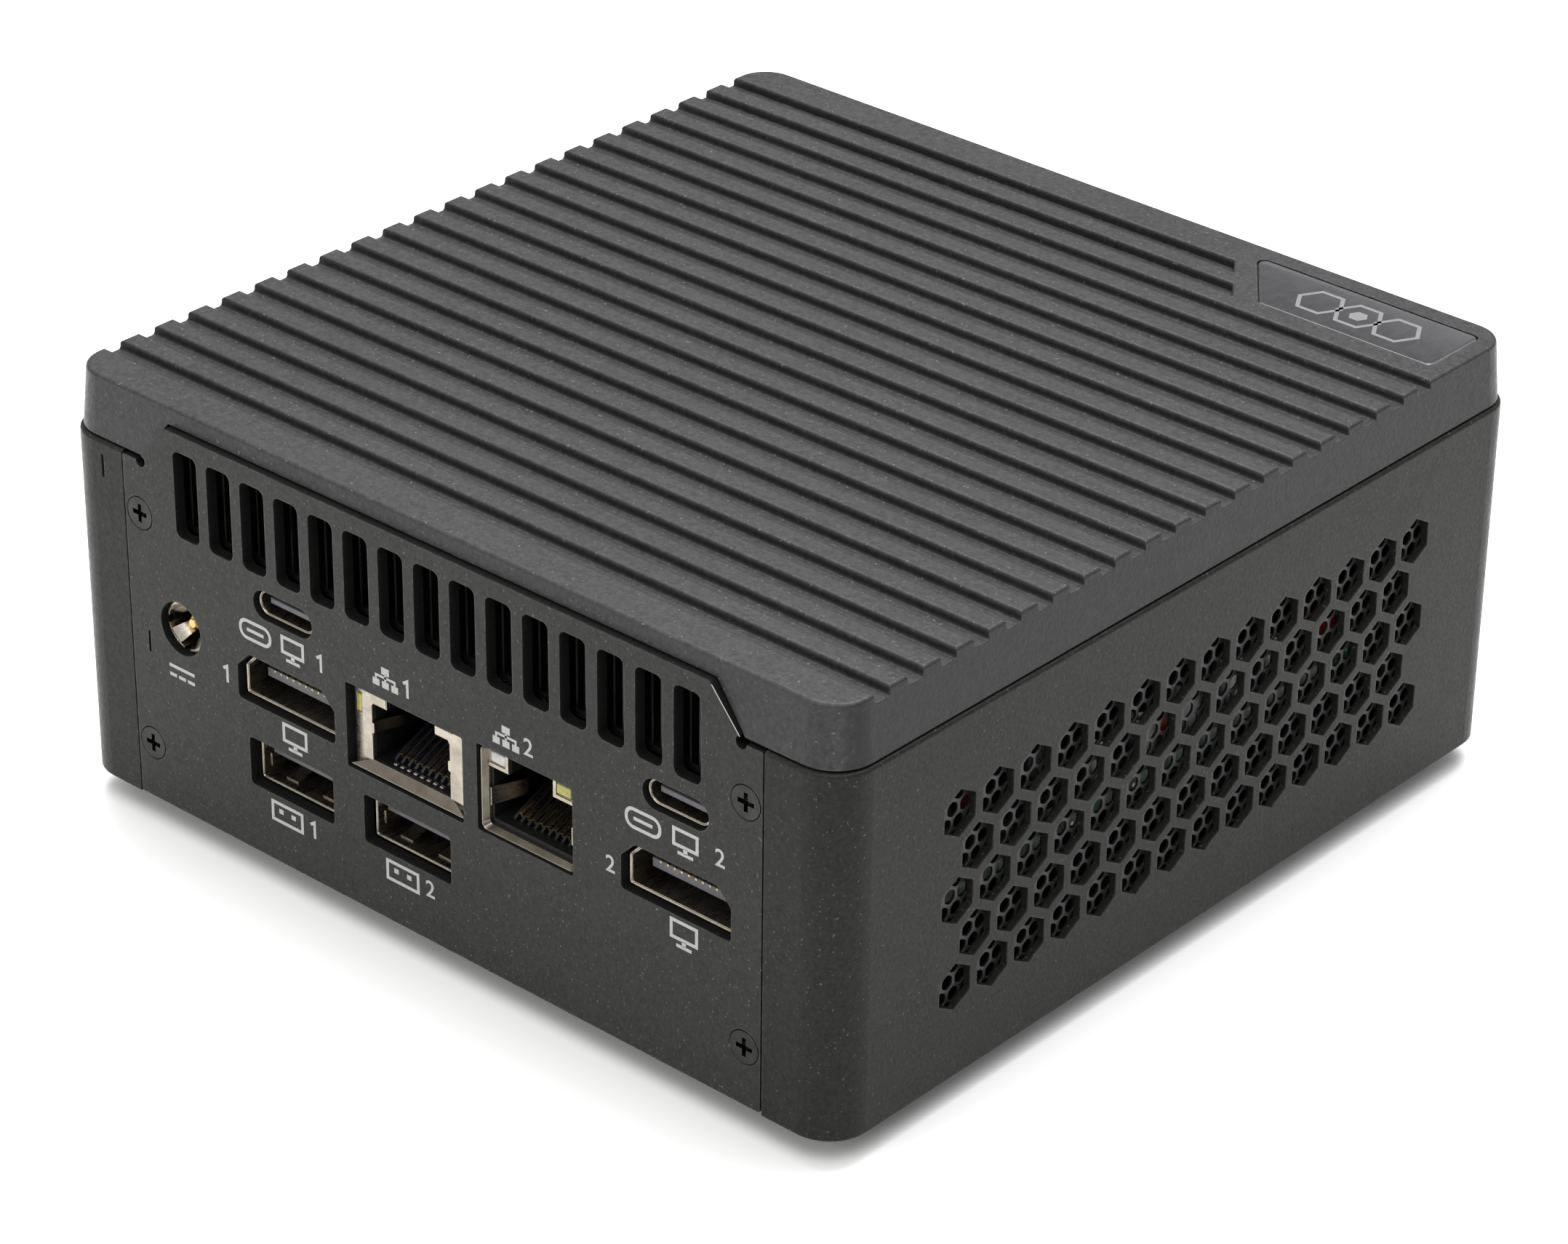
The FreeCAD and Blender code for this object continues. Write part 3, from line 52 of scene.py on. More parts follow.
# ---------------------------------------------------------------------------- camera
cam_data = bpy.data.cameras.new("camera")
cam = bpy.data.objects.new("camera", cam_data)
scene.collection.objects.link(cam)
right = Vector((-0.7457853980, -0.6661021320, 0.0105872491))
down = Vector((-0.3331998498, 0.3592033715, -0.8717515690))
ahead = Vector((0.5768726031, -0.6536672607, -0.4898337597))
rot = Matrix((right, -down, -ahead)).transposed()
cam.matrix_world = Matrix.Translation(Vector((-0.333457, 0.379519, 0.303811))) @ rot.to_4x4()
cam_data.lens = 113.987
cam_data.sensor_width = 36.0
cam_data.sensor_fit = "HORIZONTAL"
cam_data.clip_start = 0.01
cam_data.clip_end = 20.0
scene.camera = cam
scene.view_settings.view_transform = "Standard"
scene.view_settings.look = "None"

# ---------------------------------------------------------------------------- light and floor
world = bpy.data.worlds.new("studio")
scene.world = world
world.use_nodes = True
wt = world.node_tree
bg = wt.nodes["Background"]
bg.inputs["Color"].default_value = (1.0, 1.0, 1.0, 1)
# overhead light tent: bright above, dim towards the horizon
sky = wt.nodes.new("ShaderNodeSeparateXYZ")
wt.links.new(wt.nodes.new("ShaderNodeTexCoord").outputs["Generated"], sky.inputs[0])
fade = wt.nodes.new("ShaderNodeMapRange")
wt.links.new(sky.outputs[2], fade.inputs["Value"])
fade.inputs["From Min"].default_value = 0.0
fade.inputs["From Max"].default_value = 0.9
fade.inputs["To Min"].default_value = 0.10
fade.inputs["To Max"].default_value = 1.12
wt.links.new(fade.outputs[0], bg.inputs["Strength"])


def area(name, loc, target, size, watts, color=(1, 1, 1), size_y=None):
    d = bpy.data.lights.new(name, "AREA")
    d.shape = "RECTANGLE"
    d.size = size
    d.size_y = size_y or size
    d.energy = watts
    d.color = color
    o = bpy.data.objects.new(name, d)
    scene.collection.objects.link(o)
    o.location = loc
    o.rotation_mode = "QUATERNION"
    o.rotation_quaternion = (Vector(target) - Vector(loc)).to_track_quat("-Z", "Y")
    return o


area("softbox_top", (0.14, -0.34, 1.10), (0, 0, 0.03), 0.9, 18.0)
area("softbox_rear", (0.30, 1.05, 0.50), (0, 0.03, 0.03), 0.5, 4.2, (1.0, 0.985, 0.96))
area("softbox_side", (-1.05, -0.22, 0.50), (0, 0, 0.03), 0.45, 0.45, (1.0, 0.99, 0.97))
area("softbox_floor", (-0.75, 0.85, 1.9), (-0.05, 0.06, 0.0), 1.0, 17.0)


# ---------------------------------------------------------------------------- node materials
class Mat:
    """Small helper that builds a node material. Lengths in mm."""

    def __init__(self, name):
        self.m = bpy.data.materials.new(name)
        self.m.use_nodes = True
        self.t = self.m.node_tree
        self.t.nodes.clear()
        self.out = self.n("ShaderNodeOutputMaterial")
        self.b = self.n("ShaderNodeBsdfPrincipled")
        self.link(self.b.outputs[0], self.out.inputs[0])
        self.co = self.n("ShaderNodeTexCoord").outputs["Object"]
        self.normal = None

    def n(self, kind, **kw):
        node = self.t.nodes.new(kind)
        for k, v in kw.items():
            setattr(node, k, v)
        return node

    def link(self, a, b):
        self.t.links.new(a, b)

    def put(self, sock, v):
        if isinstance(v, bpy.types.NodeSocket):
            self.link(v, sock)
        elif isinstance(v, (tuple, list)) and len(v) == 3 and sock.type == "RGBA":
            sock.default_value = (*v, 1.0)
        else:
            sock.default_value = v

    def set(self, **kw):
        for k, v in kw.items():
            self.put(self.b.inputs[k.replace("_", " ")], v)

    def stretch(self, sx, sy, sz):
        mp = self.n("ShaderNodeMapping")
        self.link(self.co, mp.inputs[0])
        mp.inputs["Scale"].default_value = (sx, sy, sz)
        return mp.outputs[0]

    def noise(self, size_mm, detail=3.0, rough=0.55, co=None, dist=0.0):
        x = self.n("ShaderNodeTexNoise")
        self.link(co or self.co, x.inputs["Vector"])
        x.inputs["Scale"].default_value = 1000.0 / size_mm
        x.inputs["Detail"].default_value = detail
        x.inputs["Roughness"].default_value = rough
        x.inputs["Distortion"].default_value = dist
        return x.outputs["Fac"]

    def cells(self, size_mm, feature="F1", co=None, out="Distance"):
        x = self.n("ShaderNodeTexVoronoi")
        x.feature = feature
        self.link(co or self.co, x.inputs["Vector"])
        x.inputs["Scale"].default_value = 1000.0 / size_mm
        return x.outputs[out]

    def ramp(self, v, lo, hi, a=0.0, b=1.0, smooth=False):
        x = self.n("ShaderNodeMapRange")
        if smooth:
            x.interpolation_type = "SMOOTHSTEP"
        self.link(v, x.inputs["Value"])
        x.inputs["From Min"].default_value = lo
        x.inputs["From Max"].default_value = hi
        x.inputs["To Min"].default_value = a
        x.inputs["To Max"].default_value = b
        return x.outputs[0]

    def math(self, op, a, b=None, clamp=False):
        x = self.n("ShaderNodeMath", operation=op, use_clamp=clamp)
        self.put(x.inputs[0], a)
        if b is not None:
            self.put(x.inputs[1], b)
        return x.outputs[0]

    def mix(self, f, a, b):
        x = self.n("ShaderNodeMix", data_type="RGBA")
        self.put(x.inputs[0], f)
        self.put(x.inputs[6], a)
        self.put(x.inputs[7], b)
        return x.outputs[2]

    def bevel(self, radius_mm):
        x = self.n("ShaderNodeBevel", samples=4)
        x.inputs["Radius"].default_value = radius_mm * S
        self.normal = x.outputs[0]
        return x.outputs[0]

    def edge(self, radius_mm, lo=0.002, hi=0.10):
        """0 on flats, 1 on edges."""
        x = self.n("ShaderNodeBevel", samples=4)
        x.inputs["Radius"].default_value = radius_mm * S
        g = self.n("ShaderNodeNewGeometry")
        d = self.n("ShaderNodeVectorMath", operation="DOT_PRODUCT")
        self.link(x.outputs[0], d.inputs[0])
        self.link(g.outputs["Normal"], d.inputs[1])
        return self.ramp(d.outputs["Value"], 1 - lo, 1 - hi, 0.0, 1.0, True)

    def bump(self, height, depth_mm, strength=1.0):
        x = self.n("ShaderNodeBump")
        self.link(height, x.inputs["Height"])
        x.inputs["Distance"].default_value = depth_mm * S
        x.inputs["Strength"].default_value = strength
        if self.normal is not None:
            self.link(self.normal, x.inputs["Normal"])
        self.normal = x.outputs[0]
        return self.normal

    def done(self):
        if self.normal is not None:
            self.link(self.normal, self.b.inputs["Normal"])
        return self.m


def textured_plastic(name, base, light, wear_and_glint, rough, grain=0.55, depth=0.035, glint_amount=0.5, bevel=0.22, spec=0.5,
                     wear_amount=0.35, painted_wall_shade=None):
    """Moulded plastic with a fine spark-eroded skin: pebbled grain and worn satin edges, plus painted light: glints,
    shade in the pits, highlights on the grain tops, shade on slot and groove walls.
    """
    m = Mat(name)
    big = m.noise(26.0, 3, 0.5)
    mid = m.noise(2.6, 4, 0.6)
    pebble = m.noise(grain, 4, 0.65, dist=0.3)
    fine = m.noise(grain * 0.32, 2, 0.6)
    grains = m.cells(grain * 0.75)
    # colour: slow drift and mottling, plus painted shade in the grain's pits and painted highlight on its tops
    c = m.mix(m.ramp(big, 0.35, 0.65), base, light)
    c = m.mix(m.ramp(mid, 0.3, 0.75, 0.0, 0.35), c, tuple(v * 0.82 for v in base))
    c = m.mix(m.ramp(pebble, 0.30, 0.52, 0.65, 0.0), c, tuple(v * 0.45 for v in base))
    c = m.mix(m.ramp(pebble, 0.50, 0.72, 0.0, 0.55), c, tuple(v * 1.7 for v in base))
    # painted highlight: bright glint specks mixed into the colour with the worn-edge colour (they also lower the
    # roughness)
    glint = m.ramp(m.noise(grain * 0.7, 1, 0.5), 0.69, 0.76)
    c = m.mix(m.math("MULTIPLY", glint, glint_amount), c, wear_and_glint)
    e = m.edge(0.35)
    scuff = m.ramp(m.noise(1.8, 5, 0.7), 0.42, 0.62)
    worn = m.math("MULTIPLY", m.math("MULTIPLY", e, scuff), wear_amount)
    c = m.mix(worn, c, wear_and_glint)
    if painted_wall_shade:  # slot and groove walls get a near-black colour: painted shade in the recesses
        nor = m.n("ShaderNodeSeparateXYZ")
        m.link(m.n("ShaderNodeTexCoord").outputs["Normal"], nor.inputs[0])
        pos = m.n("ShaderNodeSeparateXYZ")
        m.link(m.co, pos.inputs[0])
        ny = m.math("ABSOLUTE", nor.outputs[1])
        if painted_wall_shade == "slots":
            wall_shade = m.ramp(ny, 0.35, 0.75, 1.0, 0.0)
            inner = m.ramp(m.math("ABSOLUTE", pos.outputs[1]), 0.0585, 0.0590, 1.0, 0.85)
            wall_shade = m.math("MULTIPLY", wall_shade, inner)
        else:
            inner = m.ramp(m.math("ABSOLUTE", pos.outputs[1]), 0.0560, 0.0568, 1.0, 0.0)
            wall_shade = m.math("MULTIPLY", m.ramp(ny, 0.45, 0.8, 0.0, 0.62), inner)
            sides = m.ramp(m.math("ABSOLUTE", nor.outputs[0]), 0.70, 0.95, 0.0, 0.86)  # painted shade: the lid's outer side walls darker than its top
            # painted shade: the lid's end faces darker than its top
            end_shade = m.math("MULTIPLY", m.ramp(ny, 0.70, 0.95, 0.0, 0.42), m.math("SUBTRACT", 1.0, inner))
            c = m.mix(sides, c, tuple(v * 0.42 for v in base))
            c = m.mix(end_shade, c, tuple(v * 0.42 for v in base))
        # near-black walls: painted shade
        c = m.mix(m.math("MULTIPLY", wall_shade, 0.95), c, (0.0012, 0.0012, 0.0012))
    r = m.math("ADD", m.ramp(pebble, 0.25, 0.75, rough + 0.09, rough - 0.09), m.ramp(mid, 0.3, 0.7, -0.03, 0.03))
    if painted_wall_shade:
        r = m.math("ADD", r, m.math("MULTIPLY", wall_shade, 0.45), clamp=True)
    r = m.math("SUBTRACT", r, m.math("MULTIPLY", e, 0.10), clamp=True)
    r = m.math("SUBTRACT", r, m.math("MULTIPLY", glint, 0.22), clamp=True)
    m.set(Base_Color=c, Roughness=r)
    m.b.inputs["Specular IOR Level"].default_value = spec
    m.b.inputs["IOR"].default_value = 1.5
    m.bevel(bevel)
    h = m.math("ADD", m.math("MULTIPLY", pebble, 0.7), m.math("MULTIPLY", fine, 0.25))
    h = m.math("ADD", h, m.math("MULTIPLY", grains, 0.25))
    m.bump(h, depth)
    return m.done()


def metal(name, base, dark, rough, grain=(1, 1, 1), size=0.5, depth=0.004, tarnish=0.4, bevel=0.06, edge_highlight_col=None):
    m = Mat(name)
    co = m.stretch(*grain)
    brush = m.noise(size, 4, 0.6, co=co)
    blot = m.noise(2.2, 4, 0.6)
    fine = m.noise(0.22, 3, 0.6)
    c = m.mix(m.ramp(blot, 0.38, 0.68, 0.0, tarnish), base, dark)
    c = m.mix(m.ramp(brush, 0.3, 0.7, 0.0, 0.18), c, tuple(v * 0.75 for v in base))
    # painted highlight: a lighter colour along the edges
    if edge_highlight_col:
        c = m.mix(m.math("MULTIPLY", m.edge(0.12), 0.6), c, edge_highlight_col)
    r = m.math("ADD", m.ramp(brush, 0.3, 0.7, rough - 0.05, rough + 0.07), m.ramp(blot, 0.35, 0.7, -0.02, 0.10), clamp=True)
    m.set(Base_Color=c, Roughness=r)
    m.b.inputs["Metallic"].default_value = 1.0
    if bevel:
        m.bevel(bevel)
    m.bump(m.math("ADD", m.math("MULTIPLY", brush, 0.7), m.math("MULTIPLY", fine, 0.3)), depth)
    return m.done()


def smooth_plastic(name, base, light, rough, size=1.2, depth=0.006, bevel=0.08, spec=0.5, coat=0.0, coat_rough=0.2,
                   painted_edge_highlight=None):
    m = Mat(name)
    big = m.noise(7.0, 3)
    mid = m.noise(size, 4, 0.6)
    fine = m.noise(0.16, 2, 0.5)
    c = m.mix(m.ramp(big, 0.35, 0.65), base, light)
    c = m.mix(m.ramp(mid, 0.35, 0.7, 0.0, 0.35), c, tuple(v * 0.7 for v in base))
    # painted highlight: a lighter colour along the edges
    if painted_edge_highlight:
        c = m.mix(m.math("MULTIPLY", m.edge(0.14), 0.5), c, painted_edge_highlight)
    m.set(Base_Color=c, Roughness=m.math("ADD", m.ramp(mid, 0.3, 0.7, rough - 0.06, rough + 0.06),
                                         m.ramp(fine, 0.3, 0.7, -0.03, 0.03), clamp=True))
    m.b.inputs["Specular IOR Level"].default_value = spec
    if coat:
        m.b.inputs["Coat Weight"].default_value = coat
        m.b.inputs["Coat Roughness"].default_value = coat_rough
    if bevel:
        m.bevel(bevel)
    m.bump(m.math("ADD", m.math("MULTIPLY", mid, 0.5), m.math("MULTIPLY", fine, 0.5)), depth)
    return m.done()


def board_mask_material(name):
    """Solder mask over copper tracks: tracks as slightly lighter raised lines, vias as tinned dots."""
    m = Mat(name)
    sep = m.n("ShaderNodeSeparateXYZ")
    m.link(m.co, sep.inputs[0])
    warp = m.noise(9.0, 1, 0.4)
    u = m.math("ADD", m.math("MULTIPLY", sep.outputs[0], 1000.0), m.math("MULTIPLY", warp, 3.0))
    v = m.math("ADD", m.math("MULTIPLY", sep.outputs[1], 1000.0), m.math("MULTIPLY", warp, 3.0))
    tu = m.math("PINGPONG", u, 0.5)
    tv = m.math("PINGPONG", v, 0.5)
    zone = m.ramp(m.cells(14.0, out="Color"), 0.45, 0.55)
    t = m.n("ShaderNodeMix", data_type="FLOAT")
    m.link(zone, t.inputs[0])
    m.link(tu, t.inputs[2])
    m.link(tv, t.inputs[3])
    track = m.ramp(t.outputs[0], 0.16, 0.22, 1.0, 0.0)
    track = m.math("MULTIPLY", track, m.ramp(m.noise(6.0, 2), 0.42, 0.5))
    via = m.ramp(m.cells(3.1), 0.08, 0.11, 1.0, 0.0)
    c = m.mix(m.ramp(m.noise(12.0, 2), 0.3, 0.7), (0.004, 0.022, 0.012), (0.006, 0.032, 0.018))
    c = m.mix(m.math("MULTIPLY", track, 0.8), c, (0.012, 0.060, 0.030))
    c = m.mix(via, c, (0.62, 0.56, 0.42))
    m.set(Base_Color=c, Roughness=m.ramp(m.noise(1.0, 3), 0.3, 0.7, 0.24, 0.42))
    m.b.inputs["Coat Weight"].default_value = 0.4
    m.b.inputs["Coat Roughness"].default_value = 0.15
    m.bevel(0.08)
    m.bump(m.math("ADD", m.math("MULTIPLY", track, 0.6), via), 0.03)
    return m.done()


def rubber(name):
    m = Mat(name)
    n1, n2 = m.noise(0.9, 4, 0.65), m.noise(6.0, 3)
    dust = m.ramp(m.noise(0.6, 4, 0.7), 0.56, 0.72, 0.0, 0.35)
    c = m.mix(m.ramp(n2, 0.35, 0.65), (0.010, 0.010, 0.011), (0.016, 0.016, 0.016))
    c = m.mix(dust, c, (0.05, 0.048, 0.045))
    m.set(Base_Color=c, Roughness=m.ramp(n1, 0.3, 0.7, 0.62, 0.82))
    m.b.inputs["Specular IOR Level"].default_value = 0.35
    m.bevel(0.4)
    m.bump(n1, 0.03)
    return m.done()


def lamp_plastic(name, tint, tint2, rough=0.2):
    m = Mat(name)
    n1, n2 = m.noise(0.7, 3), m.noise(0.25, 2)
    c = m.mix(m.ramp(n1, 0.3, 0.7), tint, tint2)
    m.set(Base_Color=c, Roughness=m.ramp(n2, 0.3, 0.7, rough, rough + 0.12))
    m.b.inputs["Coat Weight"].default_value = 0.7
    m.b.inputs["Coat Roughness"].default_value = 0.08
    m.b.inputs["Subsurface Weight"].default_value = 0.25
    m.b.inputs["Subsurface Radius"].default_value = (0.0006, 0.0006, 0.0004)
    m.bevel(0.1)
    m.bump(n2, 0.008)
    return m.done()


def ink(name, base):
    m = Mat(name)
    n1, n2 = m.noise(0.35, 4, 0.6), m.noise(0.12, 2)
    c = m.mix(m.ramp(n1, 0.35, 0.7, 0.0, 0.5), base, tuple(v * 0.72 for v in base))
    m.set(Base_Color=c, Roughness=m.ramp(n2, 0.3, 0.7, 0.45, 0.62))
    m.b.inputs["Specular IOR Level"].default_value = 0.4
    m.bump(n1, 0.006)
    return m.done()


M = {
    # the lid's colour is set well above the case's while its side and end faces are darkened, so its top is painted
    # lighter than the same plastic elsewhere: painted light
    "lid_plastic": textured_plastic("lid_plastic", (0.0365, 0.0365, 0.0367), (0.0410, 0.0410, 0.0413), (0.20, 0.20, 0.20), 0.36,
                                    grain=0.62, depth=0.055, glint_amount=0.45, bevel=0.16, spec=0.17, painted_wall_shade="grooves"),
    "case_plastic": textured_plastic("case_plastic", (0.0135, 0.0135, 0.0123), (0.0155, 0.0155, 0.0141), (0.11, 0.11, 0.104), 0.36,
                                     grain=0.50, depth=0.034, glint_amount=0.65, bevel=0.22, spec=0.11),
    "panel_plastic": textured_plastic("panel_plastic", (0.0135, 0.0135, 0.0123), (0.0152, 0.0152, 0.0139), (0.12, 0.12, 0.114), 0.42,
                                      grain=0.48, depth=0.034, glint_amount=0.75, bevel=0.16, spec=0.18, painted_wall_shade="slots"),
    "badge": metal("badge_face", (0.080, 0.080, 0.084), (0.066, 0.066, 0.070), 0.42, grain=(1, 0.15, 1), size=0.35,
                   depth=0.002, tarnish=0.3, bevel=0.05),
    "black_screw": metal("black_screw", (0.042, 0.041, 0.039), (0.022, 0.022, 0.022), 0.36, size=0.3, depth=0.01, tarnish=0.7,
                         bevel=0.10, edge_highlight_col=(0.10, 0.10, 0.095)),
    "steel_screw": metal("steel_screw", (0.30, 0.30, 0.29), (0.18, 0.175, 0.165), 0.36, size=0.4, depth=0.006, bevel=0.1),
    "foot_rubber": rubber("foot_rubber"),
    "brass_part": metal("brass_part", (0.78, 0.57, 0.26), (0.50, 0.33, 0.14), 0.28, grain=(1, 1, 6), size=0.3, bevel=0.1),
    "port_steel": metal("port_steel", (0.44, 0.40, 0.335), (0.20, 0.17, 0.13), 0.25, grain=(1, 0.12, 1), size=0.35, depth=0.004,
                        tarnish=0.55, bevel=0.08, edge_highlight_col=(0.62, 0.58, 0.50)),
    "port_plastic": smooth_plastic("port_plastic", (0.005, 0.005, 0.0055), (0.007, 0.007, 0.0078), 0.40, spec=0.3, painted_edge_highlight=(0.018, 0.019, 0.021)),
    "port_tongue": smooth_plastic("port_tongue", (0.070, 0.070, 0.080), (0.090, 0.090, 0.100), 0.40, painted_edge_highlight=(0.14, 0.14, 0.155)),
    # gold kept dark to stand for the shade inside the sockets: painted shade
    "contact_gold": metal("contact_gold", (0.42, 0.31, 0.15), (0.22, 0.15, 0.07), 0.24, size=0.2, bevel=0.04),
    # indicator windows coloured darker and yellower to stand for their shade: painted shade
    "jack_light": lamp_plastic("jack_light", (0.21, 0.195, 0.006), (0.29, 0.27, 0.012)),
    "mesh_metal": smooth_plastic("mesh_metal", (0.0125, 0.0125, 0.0118), (0.017, 0.017, 0.016), 0.32, size=0.6, depth=0.01,
                                 bevel=0.07, spec=0.30, painted_edge_highlight=(0.085, 0.085, 0.080)),
    "board_mask": board_mask_material("board_mask"),
    "chip_black": smooth_plastic("chip_black", (0.012, 0.012, 0.013), (0.018, 0.018, 0.019), 0.45, size=0.7, depth=0.01),
    "copper": metal("copper", (0.86, 0.44, 0.28), (0.48, 0.20, 0.12), 0.26, grain=(1, 0.2, 1), size=0.4, bevel=0.12),
    "fin_alloy": metal("fin_alloy", (0.060, 0.060, 0.060), (0.025, 0.025, 0.025), 0.34, grain=(1, 1, 0.1), size=0.3, bevel=0.0),
    "blower_plastic": smooth_plastic("blower_plastic", (0.009, 0.009, 0.010), (0.013, 0.013, 0.014), 0.42, depth=0.012, bevel=0.2),
    "rotor_plastic": smooth_plastic("rotor_plastic", (0.014, 0.014, 0.015), (0.020, 0.020, 0.021), 0.34, depth=0.01, bevel=0.2),
    "cell_steel": metal("cell_steel", (0.30, 0.30, 0.29), (0.20, 0.195, 0.18), 0.34, size=0.5, bevel=0.15),
    "coil_grey": smooth_plastic("coil_grey", (0.055, 0.055, 0.060), (0.085, 0.085, 0.088), 0.62, size=0.4, depth=0.03, bevel=0.2),
    "cap_can": metal("cap_can", (0.20, 0.20, 0.205), (0.12, 0.12, 0.125), 0.36, grain=(1, 1, 0.2), size=0.3, bevel=0.15),
    "cable_black": smooth_plastic("cable_black", (0.010, 0.010, 0.010), (0.014, 0.014, 0.014), 0.45, size=0.6, depth=0.02, bevel=0.0),
    "button_plastic": smooth_plastic("button_plastic", (0.012, 0.012, 0.013), (0.016, 0.016, 0.017), 0.30, size=0.5, depth=0.01,
                                     bevel=0.12, coat=0.3, coat_rough=0.15, painted_edge_highlight=(0.06, 0.06, 0.065)),
    "light_ring": lamp_plastic("light_ring", (0.55, 0.58, 0.60), (0.70, 0.73, 0.75), 0.35),
}
INK = ink("print_grey", (0.34, 0.34, 0.33))
GAP_SHADOW_INK = ink("gap_shadow_black", (0.0012, 0.0012, 0.0012))
MARK = ink("mark_grey", (0.17, 0.17, 0.175))
EDGE = metal("badge_edge", (0.34, 0.34, 0.35), (0.25, 0.25, 0.26), 0.30, size=0.3, depth=0.002, tarnish=0.3, bevel=0.0)
CLEAR = lamp_plastic("clear_window", (0.30, 0.30, 0.28), (0.42, 0.42, 0.40))
BLUE_BLACK = smooth_plastic("insert_blue_black", (0.007, 0.010, 0.016), (0.011, 0.015, 0.022), 0.34, painted_edge_highlight=(0.030, 0.040, 0.055))
TIN = metal("tinned", (0.86, 0.86, 0.84), (0.60, 0.59, 0.57), 0.30, size=0.25, bevel=0.05)
CERAMIC = smooth_plastic("ceramic_part", (0.09, 0.062, 0.038), (0.13, 0.09, 0.055), 0.4, size=0.5)
LIP = metal("lip_steel", (0.19, 0.17, 0.14), (0.09, 0.08, 0.06), 0.30, grain=(0.12, 1, 1), size=0.3, depth=0.006, tarnish=0.7, bevel=0.05,
            edge_highlight_col=(0.55, 0.50, 0.42))
# dark brownish metal for the socket springs that sit in shade: painted shade
SHADED_SPRING_METAL = metal("shaded_spring", (0.060, 0.048, 0.034), (0.030, 0.024, 0.018), 0.34, size=0.3, depth=0.004, bevel=0.05)
DULL = metal("dull_tin", (0.11, 0.11, 0.105), (0.06, 0.06, 0.058), 0.42, size=0.25, bevel=0.05)
RED = smooth_plastic("red_plastic", (0.14, 0.004, 0.005), (0.20, 0.008, 0.009), 0.4, size=0.8)
GREEN_BOARD = board_mask_material("green_mask")

slot_of = {p["node"]: p["material_slot"] for p in frame["record"]["subparts"]}
for name, obj in NODES.items():
    obj.data.materials.clear()
    obj.data.materials.append(M[slot_of[name]])


# ---------------------------------------------------------------------------- mesh helpers
def finish_mesh(name, bm, mats, body="case", smooth=None, recalc=True):
    if recalc:
        bmesh.ops.recalc_face_normals(bm, faces=bm.faces)
    me = bpy.data.meshes.new(name)
    bm.to_mesh(me)
    bm.free()
    for mt in (mats if isinstance(mats, (list, tuple)) else [mats]):
        me.materials.append(mt)
    if smooth is not None:
        me.polygons.foreach_set("use_smooth", [True] * len(me.polygons))
        me.set_sharp_from_angle(angle=math.radians(smooth))
    o = bpy.data.objects.new(name, me)
    scene.collection.objects.link(o)
    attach(o, body)
    return o


def add_prism(bm, pts, depth, place, mat=0, chamfer=0.0):
    """Closed prism from a 2-D outline; place(u, v, w) gives the 3-D point in mm, w from 0 to depth. The w = depth end is chamfered."""
    n = len(pts)
    rings = [[bm.verts.new(place(u, v, 0.0)) for u, v in pts]]
    if chamfer:
        rings.append([bm.verts.new(place(u, v, depth - chamfer)) for u, v in pts])
        rings.append([bm.verts.new(place(u, v, depth)) for u, v in inset(pts, chamfer)])
    else:
        rings.append([bm.verts.new(place(u, v, depth)) for u, v in pts])
    fs = [bm.faces.new(rings[0][::-1]), bm.faces.new(rings[-1])]
    for a, b in zip(rings, rings[1:]):
        for i in range(n):
            j = (i + 1) % n
            fs.append(bm.faces.new((a[i], a[j], b[j], b[i])))
    for f in fs:
        f.material_index = mat
    return fs


def inset(pts, d):
    """Moves every edge of a convex counter-clockwise outline inwards by d."""
    n = len(pts)
    area2 = sum(pts[i][0] * pts[(i + 1) % n][1] - pts[(i + 1) % n][0] * pts[i][1] for i in range(n))
    sgn = 1 if area2 > 0 else -1
    out = []
    for i in range(n):
        p0, p1, p2 = Vector(pts[i - 1]), Vector(pts[i]), Vector(pts[(i + 1) % n])
        e1, e2 = (p1 - p0).normalized(), (p2 - p1).normalized()
        n1, n2 = Vector((-e1.y, e1.x)) * sgn, Vector((-e2.y, e2.x)) * sgn
        k = (n1 + n2)
        k = k / max(1e-6, 1 + n1.dot(n2))
        out.append(tuple(p1 + k * d))
    return out


def round_poly(pts, r, seg=5):
    n = len(pts)
    out = []
    for i in range(n):
        p0, p1, p2 = Vector(pts[i - 1]), Vector(pts[i]), Vector(pts[(i + 1) % n])
        a, b = (p0 - p1).normalized(), (p2 - p1).normalized()
        ang = a.angle(b)
        t = r / math.tan(ang / 2)
        s, e = p1 + a * t, p1 + b * t
        c = p1 + (a + b).normalized() * (r / math.sin(ang / 2))
        a0 = math.atan2(s.y - c.y, s.x - c.x)
        a1 = math.atan2(e.y - c.y, e.x - c.x)
        da = (a1 - a0 + math.pi) % (2 * math.pi) - math.pi
        for k in range(seg + 1):
            q = a0 + da * k / seg
            out.append((c.x + r * math.cos(q), c.y + r * math.sin(q)))
    return out


def rect(cx, cy, w, h):
    return [(cx - w / 2, cy - h / 2), (cx + w / 2, cy - h / 2), (cx + w / 2, cy + h / 2), (cx - w / 2, cy + h / 2)]


def on_rear(y0):
    """u runs to the right as seen from behind the rear panel; w runs out of the panel."""
    return lambda u, v, w: Vector((-u, y0 + w, v + FZ)) * S


def on_front(y0):
    return lambda u, v, w: Vector((u, y0 - w, v + FZ)) * S


def on_top(z0):
    return lambda u, v, w: Vector((u, v, z0 + FZ + w)) * S


